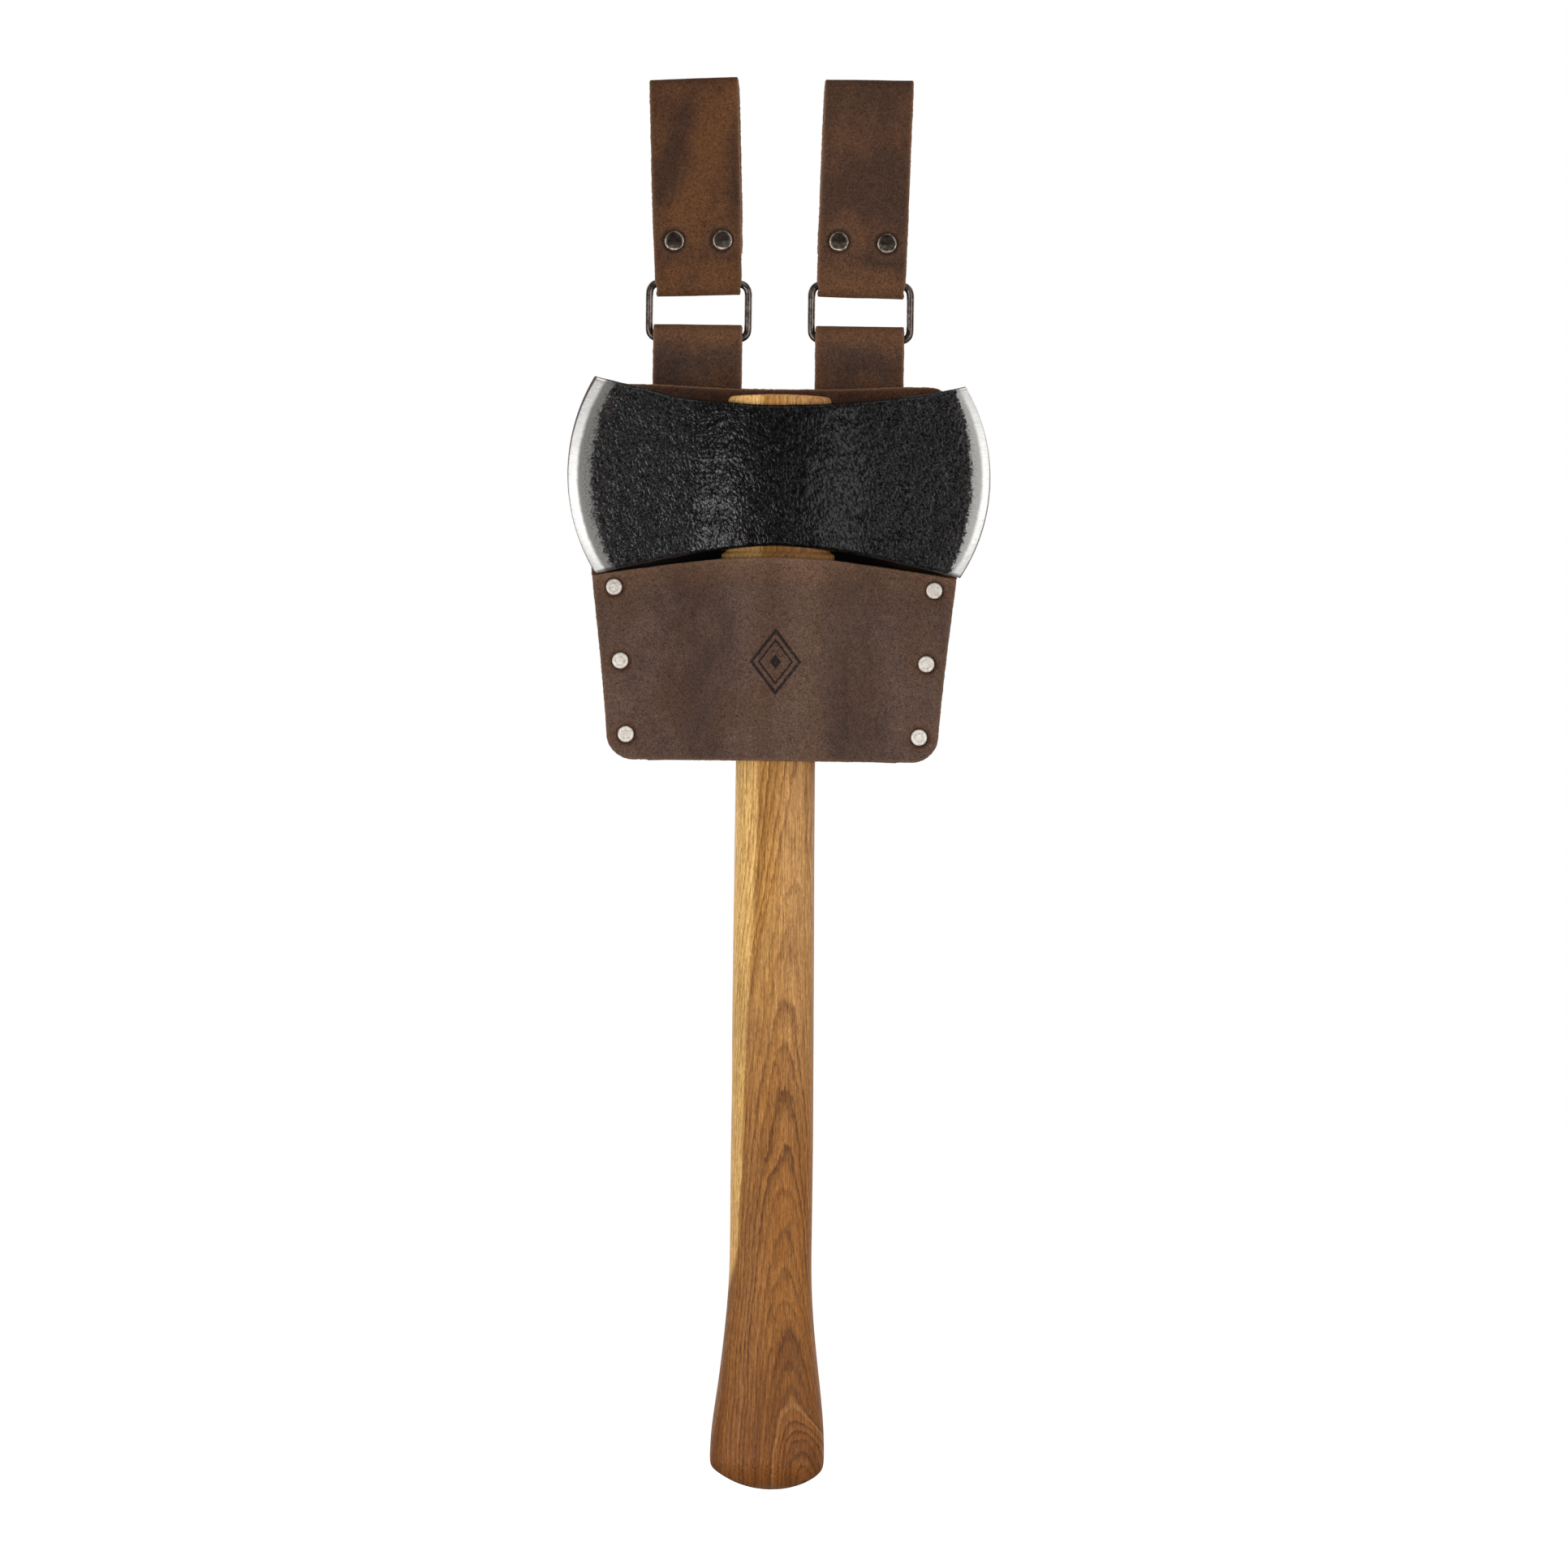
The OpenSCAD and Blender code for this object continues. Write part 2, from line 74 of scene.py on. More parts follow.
head_box, haft_box, ring_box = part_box("axe_head"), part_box("handle"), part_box("right_ring")
loop_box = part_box("right_belt_loop")
TONGUE_TOP = 35.4                          # top of the haft, in the head's eye
ORIGIN_Y = middle(head_box, 1)
ORIGIN_Z = haft_box[1].z * 1000 - TONGUE_TOP
HAFT_END = haft_box[0].z * 1000 - ORIGIN_Z
HEAD_HALF = half_span(head_box, 0)
HATCHET_X = 0.5                            # the axe sits a little to one side in its pocket
POCKET_X = -1.0

RING_X = middle(ring_box, 0)
RING_Y = middle(ring_box, 1) - ORIGIN_Y
RING_Z = middle(ring_box, 2) - ORIGIN_Z
WIRE = half_span(ring_box, 1)              # radius of the ring's wire
RING_HALF_X = half_span(ring_box, 0) - WIRE
RING_HALF_Z = half_span(ring_box, 2) - WIRE
TOP_BAR, LOW_BAR = RING_Z + RING_HALF_Z, RING_Z - RING_HALF_Z

BACK_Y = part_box("back_panel")[0].y * 1000 - ORIGIN_Y
LEATHER = 3.0                              # thickness of the pocket's leather
STRAP = 2.8                                # thickness of the straps
STRAP_WIDTH = 38.1
LOOP_TOP = loop_box[1].z * 1000 - ORIGIN_Z - 0.55
LOOP_LEAN = math.radians(1.65)
LOOP_RIVET_Z, HANGER_RIVET_Z = 101.6, 22.0
RIVET_DX = 10.4                            # strap rivets either side of the strap's middle
HANGER_RIVETS = [(side * RING_X + step * RIVET_DX, HANGER_RIVET_Z)
                 for side in (-1, 1) for step in (-1, 1)]
SIDES = ((-1, "left"), (1, "right"))


def to_frame(points):
    moved = np.array(points, float)
    moved[..., 1] += ORIGIN_Y
    moved[..., 2] += ORIGIN_Z
    return moved * 0.001


def from_mesh(mesh):
    """A mesh's vertices in the layout's millimetres."""
    points = np.zeros(len(mesh.vertices) * 3)
    mesh.vertices.foreach_get("co", points)
    return points.reshape(-1, 3) * 1000 - [0, ORIGIN_Y, ORIGIN_Z]


# ------------------------------------------------------------------ shape maths
def xyz(x, y, z):
    return np.stack(np.broadcast_arrays(x, y, z), -1)


def ease(t):
    t = np.clip(t, 0, 1)
    return t * t * (3 - 2 * t)


def bell(distance, width):
    return np.exp(-(distance / width) ** 2)


_random = np.random.RandomState(11)
PERMUTATION = _random.permutation(256)
GRADIENTS = _random.normal(size=(256, 3))
GRADIENTS /= np.linalg.norm(GRADIENTS, axis=1)[:, None]


def noise(points, seed=0):
    """Gradient noise."""
    points = np.asarray(points, float) + seed * 19.19
    cell = np.floor(points).astype(int)
    part = points - cell
    blend = part * part * part * (part * (part * 6 - 15) + 10)
    total = 0
    for corner in np.ndindex(2, 2, 2):
        key = 0
        for axis in range(3):
            key = PERMUTATION[(key + cell[..., axis] + corner[axis]) & 255]
        weight = np.where(corner, blend, 1 - blend).prod(-1)
        total = total + weight * (GRADIENTS[key] * (part - corner)).sum(-1)
    return total * 1.5


def fbm(points, scale, octaves, seed=0, stretch=(1, 1, 1)):
    """Layered noise, each octave finer and half as strong."""
    scaled = np.asarray(points, float) * scale * np.array(stretch, float)
    total, amount = 0, 1.0
    for octave in range(octaves):
        total = total + amount * noise(scaled, seed + octave * 3)
        scaled = scaled * 2.03
        amount *= 0.5
    return total


# ------------------------------------------------------------------ shader nodes
def operator(kind, swapped=False):
    """A Math node between two values, or a Vector Math node where the other is a tuple."""
    def apply(self, other):
        if isinstance(other, tuple):
            return self.vector_math(kind, other)
        pair = (other, self) if swapped else (self, other)
        return self.shader.math(kind, *pair)
    return apply


class Value:
    """A node's output. Arithmetic and methods on it add further nodes."""

    def __init__(self, shader, socket):
        self.shader, self.socket = shader, socket

    __add__, __radd__ = operator("ADD"), operator("ADD", True)
    __sub__, __rsub__ = operator("SUBTRACT"), operator("SUBTRACT", True)
    __mul__, __rmul__ = operator("MULTIPLY"), operator("MULTIPLY", True)
    __truediv__, __pow__ = operator("DIVIDE"), operator("POWER")

    def __abs__(self):
        return self.shader.math("ABSOLUTE", self)

    def vector_math(self, kind, other=(0, 0, 0)):
        output = "Value" if kind in ("LENGTH", "DOT_PRODUCT") else 0
        return self.shader.node("VectorMath", {0: self, 1: other}, output, operation=kind)

    def inverse(self):
        return self.shader.math("SUBTRACT", 1.0, self, clamp=True)

    def split(self):
        node = self.shader.tree.nodes.new("ShaderNodeSeparateXYZ")
        self.shader.put(node.inputs[0], self)
        return [Value(self.shader, socket) for socket in node.outputs]

    def noise(self, scale, detail=2.0, rough=0.5, warp=0.0):
        return self.shader.node("TexNoise", {"Vector": self, "Scale": scale, "Detail": detail,
                                             "Roughness": rough, "Distortion": warp})

    def voronoi(self, scale, feature="F1"):
        inputs = {"Vector": self, "Scale": scale, "Randomness": 1.0}
        return self.shader.node("TexVoronoi", inputs, "Distance", feature=feature)

    def fade(self, low, high, to=(0.0, 1.0), curve="SMOOTHSTEP"):
        """Goes smoothly between the two values of `to` as this goes from low to high."""
        inputs = dict(enumerate((self, low, high, *to)))
        return self.shader.node("MapRange", inputs, interpolation_type=curve)

    def slope(self, low, high, to=(0.0, 1.0)):
        return self.fade(low, high, to, "LINEAR")

    def ramp(self, *stops):
        """Colours or grey levels at (position, colour) stops."""
        node = self.shader.tree.nodes.new("ShaderNodeValToRGB")
        elements = node.color_ramp.elements
        while len(elements) < len(stops):
            elements.new(0.5)
        for element, (position, colour) in zip(elements, stops):
            element.position = position
            element.color = (*colour, 1) if isinstance(colour, tuple) else (colour,) * 3 + (1,)
        self.shader.put(node.inputs[0], self)
        return Value(self.shader, node.outputs[0])

    def mix(self, first, second, blend="MIX"):
        """Two colours mixed, with this as the share of the second."""
        return self.shader.mix(self, first, second, blend)

    def toward(self, colour, amount):
        return self.shader.mix(amount, self, colour, "MIX")

    def times(self, colour, amount=1.0):
        return self.shader.mix(amount, self, colour, "MULTIPLY")

    def bump(self, distance, strength):
        return self.shader.node("Bump", {"Strength": strength, "Distance": distance,
                                         "Height": self})


class Shader:
    """A node tree emptied and built anew."""

    def __init__(self, tree):
        self.tree = tree
        tree.nodes.clear()

    def put(self, socket, value):
        if isinstance(value, Value):
            self.tree.links.new(value.socket, socket)
        elif socket.type == "RGBA":
            socket.default_value = (*value, 1)
        else:
            socket.default_value = value

    def node(self, kind, inputs, output=0, **settings):
        node = self.tree.nodes.new("ShaderNode" + kind)
        for key, value in settings.items():
            setattr(node, key, value)
        for key, value in inputs.items():
            self.put(node.inputs[key], value)
        return Value(self, node.outputs[output])

    def math(self, kind, a, b=0.0, clamp=False):
        return self.node("Math", {0: a, 1: b, 2: 0.0}, operation=kind, use_clamp=clamp)

    def vector(self, x, y, z):
        return self.node("CombineXYZ", {0: x, 1: y, 2: z})

    def mix(self, amount, first, second, blend):
        return self.node("Mix", {0: amount, 6: first, 7: second}, 2,
                         data_type="RGBA", blend_type=blend, clamp_factor=True)

    def attribute(self, name):
        return self.node("Attribute", {}, "Fac", attribute_name=name)

    def output(self, kind, value):
        self.put(self.tree.nodes.new(kind).inputs[0], value)


class Material(Shader):
    """A material whose position p is in millimetres from the frame's origin."""

    def __init__(self, name):
        self.material = bpy.data.materials.new(name)
        self.material.use_nodes = True
        super().__init__(self.material.node_tree)
        self.p = self.node("TexCoord", {}, "Object") * (1000, 1000, 1000)

    def surface(self, **inputs):
        named = {key.replace("_", " "): value for key, value in inputs.items()}
        self.output("ShaderNodeOutputMaterial", self.node("BsdfPrincipled", named))
        return self.material


def srgb(*levels):
    """A linear colour from sRGB levels of 0 to 255."""
    return tuple(((c / 255 + 0.055) / 1.055) ** 2.4 if c > 10 else c / 255 / 12.92
                 for c in levels)


# ------------------------------------------------------------------ leather
def leather(name, seed, base, dark, light, pull_and_highlight, edge, warm=None, stamp=None,
            streak=(1, 1, 0.55)):
    """Waxy leather: clouded tone, fibrous speckle, paler where bent, fibrous at cut edges,
    painted highlight and painted shade from the sheet's attributes.
    """
    n = Material(name)
    p = n.p + (seed * 37.0, seed * 11.0, seed * 53.0)
    pull_and_highlight, edge = srgb(*pull_and_highlight), srgb(*edge)
    # clouded tone
    cloud = p * streak
    tone = (cloud.noise(0.026, detail=3, warp=0.8) * 0.50
            + cloud.noise(0.11, detail=4, rough=0.62, warp=0.6) * 0.50
            + n.attribute("tan") * 0.14)
    colour = tone.ramp((0.38, srgb(*dark)), (0.50, srgb(*base)), (0.64, srgb(*light)))
    if warm:
        patches = p.noise(0.045, detail=3, rough=0.6, warp=0.5)
        colour = colour.toward(srgb(*warm), patches.fade(0.48, 0.66, to=(0, 0.75)))
    warmed = n.attribute("warm") * p.noise(0.4, detail=3).fade(0.3, 0.6, to=(0.5, 1.0))
    colour = colour.toward(srgb(96, 68, 52), warmed)
    # paler and warmer where the hide is stretched, and a painted highlight where the sheet
    # asks for one
    pull_and_highlight_share = n.attribute("pull_and_highlight") * p.noise(0.35, detail=3).fade(0.25, 0.7, to=(0.5, 1.0))
    colour = colour.toward(pull_and_highlight, pull_and_highlight_share)
    # fibrous speckle, a little stronger in green and blue than in red
    fibre = p.noise(0.80, detail=3, rough=0.72, warp=1.6)
    speck = p.noise(1.4, rough=0.6, warp=0.8)
    grain = fibre * 0.55 + speck * 0.45
    level = grain.slope(0.33, 0.67, to=(0.30, 1.82))
    colour = colour.times(n.vector(level, level ** 1.06, level ** 1.14))
    # scattered darker pores and faint scuffs
    pore = p.voronoi(0.42).fade(0.0, 0.15, to=(0.55, 1.0))
    colour = colour.times(n.vector(pore, pore, pore), amount=0.7)
    scuff = (p * (0.5, 0.5, 2.2)).noise(0.5, detail=4, rough=0.7, warp=0.6)
    colour = colour.toward(pull_and_highlight, scuff.fade(0.58, 0.72, to=(0, 0.40)))
    # cut edges
    fuzz = p.noise(2.0, detail=3, rough=0.8)
    cut_colour = fuzz.ramp((0.34, tuple(c * 0.30 for c in edge)), (0.5, edge),
                           (0.66, tuple(min(1, c * 1.9) for c in edge)))
    worn = n.math("MULTIPLY", n.attribute("edge"), fuzz.fade(0.2, 0.55, to=(0.5, 1.0)),
                  clamp=True)
    colour = colour.toward(cut_colour, worn)
    # press marks and painted shade beside rivets, and painted shade down the pocket's middle
    # crease and inside the pocket
    shade = (n.attribute("dark") * 0.72).inverse()
    colour = colour.times(n.vector(shade, shade, shade))
    height = (grain * 0.9 + p.voronoi(0.95, "SMOOTH_F1") * 0.35
              + p.noise(0.3, detail=3) * 0.9)
    rough = tone.fade(0.35, 0.65, to=(0.64, 0.78))
    if stamp:
        inked, pressed = stamp(n)
        colour = colour.toward(srgb(27, 23, 26), inked * 0.93)
        height = height - pressed * 3.0
        rough = rough - inked * 0.14
    return n.surface(Base_Color=colour, Roughness=rough, Specular_IOR_Level=0.14,
                     Normal=height.bump(distance=0.00026, strength=0.8))


def lozenge_stamp(n):
    """Two nested lozenge lines and a dot on the pocket's front: worn ink, pressed depth."""
    lines = ((11.6, 0.78), (8.0, 0.48))    # distance from the middle, width
    x, y, z = n.p.split()
    wobble = (n.p.noise(0.9) - 0.5) * 0.5
    reach = abs(x) * 1.12 + abs(z - (ORIGIN_Z - 80.0)) * 0.86 + wobble
    front = y.fade(ORIGIN_Y + 4.0, ORIGIN_Y + 3.0)
    outer, inner = [abs(reach - at).fade(width * 0.6, width * 1.3).inverse()
                    for at, width in lines]
    mark = n.math("MAXIMUM", outer, inner)
    mark = n.math("MAXIMUM", mark, reach.fade(2.2, 2.9).inverse()) * front
    worn = n.p.noise(0.8, detail=3, rough=0.7).fade(0.32, 0.5, to=(0.55, 1.0))
    return mark * worn, mark


# ------------------------------------------------------------------ steel
def forged_steel():
    """Black forge scale with hammered pebbles, ground bright at the bits to a ragged line."""
    n = Material("forged_steel")
    p = n.p
    depth, bevel = n.attribute("edge_mm"), n.attribute("bevel_mm")
    x, y, z = p.split()
    tilted = n.vector(x * 0.94 + z * 0.34, y * 0.8, z * 0.62 + x * -0.22)
    # share of scale, from the distance behind the ragged grinding line
    ragged = p.noise(0.26, detail=5, rough=0.75) - 0.5
    fine = p.noise(0.95, detail=3, rough=0.72) - 0.5
    line = depth + ragged * 3.2 + fine * x.fade(-5.0, 5.0, to=(8.5, 6.0))
    scale = (line - bevel).fade(-0.6, 0.5)
    # scale: pebbles, cells, fine grain and a broad swell
    pebble = tilted.noise(0.88, detail=1.3, warp=0.30)
    cell = tilted.voronoi(0.92, "SMOOTH_F1")
    grain = p.noise(1.25, rough=0.6)
    swell = p.noise(0.13)
    scale_height = cell * -0.55 + pebble * 1.35 + (grain * 0.05 + swell * 0.9)
    tone = p.noise(0.045, detail=3)
    crest = pebble * 0.50 + grain * 0.42 + cell * -0.16
    black = crest.ramp((0.30, srgb(5, 5, 5)), (0.40, srgb(11, 11, 11)),
                       (0.52, srgb(25, 25, 26)))
    black = black.toward(srgb(8, 8, 9), tone.fade(0.45, 0.7, to=(0, 0.55)))
    rust = p.noise(0.14, detail=4, rough=0.7).fade(0.55, 0.68) * grain.fade(0.35, 0.6)
    black = black.toward(srgb(50, 34, 28), rust * 0.5)
    line_rust = ((depth - bevel).fade(8.0, 0.0)
                 * p.noise(0.45, detail=4, rough=0.7).fade(0.48, 0.62))
    black = black.toward(srgb(58, 42, 35), line_rust * 0.7)
    # ground steel, brushed across the edge, brightest on the steep facet
    brush = n.vector(x * 0.3, y, (z - ORIGIN_Z) * 3.4).noise(1.0, detail=3, rough=0.7)
    satin = (depth + ragged * 1.4 + x.fade(-5.0, 5.0, to=(0.0, 0.8))).fade(3.3, 5.2)
    satin_colour = x.fade(-5.0, 5.0).mix(srgb(134, 133, 130), srgb(182, 181, 178))
    bright = satin.mix(srgb(250, 248, 245), satin_colour)
    bright = bright.toward(srgb(150, 148, 145), brush.fade(0.32, 0.68, to=(0, 0.30)))
    fleck = p.noise(1.1, detail=3, rough=0.8).fade(0.46, 0.66)
    bright = bright.toward(srgb(46, 44, 43),
                           fleck * depth.fade(4.5, 8.5, to=(0.08, 1.0)) * 0.85)
    bright = bright.toward(srgb(58, 42, 40), depth.fade(0.65, 0.15, to=(0, 0.85)))
    # both together
    scale_rough = grain.fade(0.3, 0.7, to=(0.20, 0.30))
    ground_rough = brush * 0.10 + satin.fade(0, 1, to=(0.36, 0.46))
    rough = ground_rough * (1.0 - scale) + scale_rough * scale
    metallic = scale.slope(0, 1, to=(1.0, 0.0))
    height = scale_height * scale + (brush * 0.05 + fleck * 0.05) * (1.0 - scale)
    shine = x.fade(4.0, 18.0, to=(1.0, 0.66)) * abs(x).fade(8.0, 17.0, to=(0.72, 1.0))
    paler = abs(x).fade(30.0, 46.0) * grain.fade(0.40, 0.62, to=(0.0, 0.55))
    black = black.toward(srgb(60, 60, 62), paler)
    specular = (pebble.fade(0.35, 0.6, to=(0.12, 0.37)) * shine * scale
                + (0.5 - scale * 0.5))
    return n.surface(Base_Color=scale.mix(bright, black), Roughness=rough,
                     Metallic=metallic, Specular_IOR_Level=specular,
                     Normal=height.bump(distance=0.00029, strength=1.0))


def plated_metal(name, base, worn, dirt, rough, seed=0.0, scale=1.0, relief=0.00004,
                 metallic=1.0, soil_and_shade=0.8):
    """Plated metal, rubbed paler in places, with fine scratches, tarnished spots, and
    darkening from the 'dark' attribute: patina in hollows and painted shade.
    """
    n = Material(name)
    p = n.p + (seed, seed * 2, seed * 3)
    rubbed = p.noise(0.9 * scale, detail=4, rough=0.65)
    scratch = (p * (1.0, 1.0, 0.25)).noise(2.6 * scale, detail=3, rough=0.6)
    colour = rubbed.fade(0.40, 0.62).mix(srgb(*base), srgb(*worn))
    spots = p.noise(0.6 * scale, detail=5, rough=0.75)
    colour = colour.toward(srgb(*dirt), spots.fade(0.55, 0.70, to=(0, 0.8)))
    # the 'dark' attribute: patina in the rivets' hollows, and painted shade on the upper half
    # of the belt-loop rivet heads
    colour = colour.toward(srgb(*dirt), n.attribute("dark") * soil_and_shade)
    roughness = scratch * 0.16 + rubbed.fade(0.3, 0.7, to=(rough, rough + 0.14))
    return n.surface(Base_Color=colour, Roughness=roughness, Metallic=metallic,
                     Normal=(scratch + rubbed * 0.8).bump(distance=relief, strength=0.6))


# ------------------------------------------------------------------ wood
def haft_wood():
    """Growth rings round a wandering pith in front of the haft, cut by its surface.

    Straight lines above and to the left, nested arches low on the right, pale sapwood
    along the left edge, and fine dark pores along the grain."""
    n = Material("haft_wood")
    p = n.p - (HATCHET_X, ORIGIN_Y, ORIGIN_Z)
    x, y, z = p.split()

    def stretched(across, scale_x, scale_y, scale_z):
        return n.vector(across * scale_x, y * scale_y, z * scale_z)

    # where the pith lies at each height
    wander_x = (p * (0.5, 0.5, 0.16)).noise(0.11, detail=3, rough=0.55) - 0.5
    wander_y = (p * (0.4, 0.4, 0.2) + (31, 7, 3)).noise(0.11, detail=3, rough=0.55) - 0.5
    upper = z.fade(-120.0, -262.0)
    low = z.slope(-240.0, -480.0) ** 1.7
    pith_x = 27.0 + upper * -18.5 + low * 11.0 + wander_x * 6.0
    pith_depth = 33.0 + z.fade(-165.0, -380.0, to=(0.0, -6.5)) + low * -25.0 + wander_y * 4.5
    pith_depth = pith_depth + z.fade(-398.0, -442.0, to=(0.0, -4.5))
    flat = z.fade(-400.0, -418.0)          # the arches run out over the domed end
    flat_y = y * (1.0 - flat) + flat * -13.5
    ring_x = x - pith_x
    ring_y = flat_y + 11.5 + pith_depth
    radius = n.math("SQRT", ring_x * ring_x + ring_y * ring_y)
    jitter = (stretched(x, 1.2, 1.2, 0.10).noise(0.8, detail=3, rough=0.65) - 0.5) * 1.3
    radius = radius + jitter
    # dark latewood in rings 1.72 mm apart, each of its own strength
    ring = radius / 1.72
    late = n.math("FRACT", ring).ramp((0.0, 0.0), (0.25, 0.05), (0.60, 0.40), (0.84, 1.0),
                                      (0.93, 0.9), (1.0, 0.0))
    strength = n.vector(n.math("FLOOR", ring), 0.0, 0.0).noise(3.7, detail=0)
    late = late * strength.fade(0.3, 0.7, to=(0.35, 1.0))
    bands = stretched(radius, 0.23, 0.01, 0.004).noise(1.0)
    # fibres and pores
    long_fibre = stretched(x, 1.9, 1.9, 0.06).noise(1.0, detail=4, rough=0.72)
    short_fibre = stretched(x, 2.7, 2.7, 0.40).noise(1.0, detail=3, rough=0.7, warp=0.6)
    pore = stretched(x, 2.5, 2.5, 0.24).noise(1.0, rough=0.6)
    pores = pore.fade(0.56, 0.70) * late.fade(0.0, 0.8, to=(0.45, 1.0))
    # heartwood, darker and browner towards the knob
    high_heart = x.fade(-6.0, 9.0).mix(srgb(211, 151, 73), srgb(216, 160, 98))
    low_heart = x.fade(-8.0, 12.0).mix(srgb(168, 110, 54), srgb(172, 111, 49))
    heart = z.fade(-150.0, -330.0).mix(high_heart, low_heart)
    heart = heart.toward(srgb(147, 87, 36), z.fade(-350.0, -430.0, to=(0, 0.8)))
    dark = z.fade(-130.0, -372.0).mix(srgb(118, 70, 30), srgb(84, 46, 18))
    colour = heart.toward(dark, late * 0.78)
    colour = colour.toward(dark, bands.fade(0.47, 0.70, to=(0, 0.55))
                           * z.fade(-140.0, -300.0, to=(0.4, 1.0)))
    pale = stretched(radius, 0.30, 0.01, 0.003).noise(1.0)
    pale_colour = z.fade(-130.0, -300.0).mix(srgb(226, 174, 106), srgb(186, 130, 74))
    colour = colour.toward(pale_colour, pale.fade(0.54, 0.70, to=(0, 0.5)))
    # sapwood left of a drifting line
    sap_x = (z.slope(-127.0, -330.0, to=(-6.8, -13.4))
             + z.fade(-325.0, -400.0, to=(0.0, -16.0)) + wander_x * 4.0)
    sap = (x - sap_x).fade(0.9, -1.2)
    high_sap = (late * 0.66).mix(srgb(255, 204, 124), srgb(190, 126, 60))
    low_sap = (late * 0.6).mix(srgb(238, 186, 112), srgb(150, 98, 50))
    colour = colour.toward(z.fade(-200.0, -400.0).mix(high_sap, low_sap), sap)
    # fibre contrast, strongest in blue
    level = (long_fibre.slope(0.30, 0.70, to=(0.48, 1.48))
             * short_fibre.slope(0.32, 0.68, to=(0.62, 1.38)))
    colour = colour.times(n.vector(level ** 0.78, level, level ** 1.2))
    colour = colour.toward(srgb(84, 46, 18), pores * 0.72)
    glint = stretched(x, 3.0, 3.0, 0.6).noise(1.0, rough=0.6, warp=0.8).fade(0.60, 0.74)
    colour = colour.toward(srgb(196, 148, 104),
                           glint * z.fade(-300.0, -400.0, to=(0.1, 0.45)))
    # dirt from the hand
    dirt = p.noise(0.035, detail=3).fade(0.5, 0.75) * 0.22
    colour = colour.toward(srgb(116, 72, 40), dirt)
    # end grain, then darker just under the head
    end = n.attribute("end")
    speck = p.noise(1.8, detail=3, rough=0.7).fade(0.35, 0.65)
    end_colour = speck.mix(srgb(218, 178, 128), srgb(166, 120, 74))
    end_colour = end_colour.toward(srgb(140, 96, 56), late * 0.5)
    end_colour = end_colour.toward(srgb(150, 112, 80), z.fade(-300.0, -301.0))
    colour = colour.toward(end_colour, end)
    darker_under_head = z.fade(-20.0, -30.0) * z.fade(-47.0, -38.0)
    colour = colour.toward(srgb(104, 62, 28), darker_under_head * 0.55)
    height = long_fibre * 0.6 + short_fibre * 0.4 + (pores * -0.9 + late * -0.25)
    return n.surface(Base_Color=colour, Roughness=long_fibre.fade(0.3, 0.7, to=(0.50, 0.64)),
                     Specular_IOR_Level=0.24,
                     Normal=height.bump(distance=0.00016, strength=0.7))


def wedge_wood():
    n = Material("wedge_wood")
    fibre = (n.p * (0.5, 3.0, 0.3)).noise(1.0, detail=4, rough=0.7)
    dots = n.p.noise(3.0, rough=0.6).fade(0.55, 0.68)
    colour = fibre.ramp((0.3, srgb(150, 108, 66)), (0.55, srgb(190, 148, 100)),
                        (0.75, srgb(210, 172, 124)))
    colour = colour.toward(srgb(120, 84, 50), dots * 0.5)
    return n.surface(Base_Color=colour, Roughness=0.62,
                     Normal=fibre.bump(distance=0.0001, strength=0.5))


POCKET_LEATHER = leather(
    "pocket_leather", seed=1.0, base=(94, 73, 63), dark=(83, 64, 57), light=(104, 81, 69),
    pull_and_highlight=(120, 90, 70), edge=(126, 96, 74), warm=(92, 68, 55), stamp=lozenge_stamp,
    streak=(1, 1, 0.8))
BACK_LEATHER = leather(
    "back_leather", seed=2.0, base=(80, 53, 40), dark=(66, 46, 38), light=(96, 66, 50),
    pull_and_highlight=(116, 82, 60), edge=(140, 104, 76), warm=(82, 50, 36))
LOOP_LEATHER = {
    -1: leather("left_strap_leather", seed=3.6, base=(86, 56, 37), dark=(68, 45, 32),
                light=(102, 67, 41), pull_and_highlight=(110, 74, 46), edge=(134, 98, 72)),
    1: leather("right_strap_leather", seed=5.2, base=(84, 57, 42), dark=(73, 51, 39),
               light=(97, 67, 47), pull_and_highlight=(114, 78, 52), edge=(134, 98, 72))}
HANGER_LEATHER = leather(
    "hanger_leather", seed=7.7, base=(80, 58, 46), dark=(70, 52, 45), light=(99, 69, 49),
    pull_and_highlight=(112, 77, 52), edge=(140, 104, 78), warm=(84, 57, 42))
FORGED_STEEL = forged_steel()
HAFT_WOOD = haft_wood()
WEDGE_WOOD = wedge_wood()
WEDGE_STEEL = plated_metal("wedge_steel", base=(120, 120, 122), worn=(170, 170, 172),
                           dirt=(70, 56, 46), rough=0.38)
WORN_NICKEL = plated_metal("worn_nickel", base=(232, 220, 207), worn=(255, 250, 242),
                           dirt=(134, 110, 92), rough=0.40, seed=3.0, metallic=0.35)
ANTIQUE_NICKEL = plated_metal("antique_nickel", base=(150, 136, 122), worn=(226, 212, 194),
                              dirt=(58, 48, 42), rough=0.22, seed=5.0, scale=0.55,
                              relief=0.00002, soil_and_shade=0.96)
RING_WIRE = plated_metal("ring_wire", base=(86, 76, 71), worn=(120, 110, 104),
                         dirt=(44, 36, 33), rough=0.20, seed=9.0, scale=0.6)


# ------------------------------------------------------------------ mesh helpers
def new_object(name, points, faces):
    mesh = bpy.data.meshes.new(name)
    mesh.from_pydata(to_frame(points).tolist(), [], [list(map(int, face)) for face in faces])
    mesh.update()
    bm = bmesh.new()
    bm.from_mesh(mesh)
    bmesh.ops.recalc_face_normals(bm, faces=bm.faces)
    bm.to_mesh(mesh)
    bm.free()
    piece = bpy.data.objects.new(name, mesh)
    bpy.context.scene.collection.objects.link(piece)
    return piece


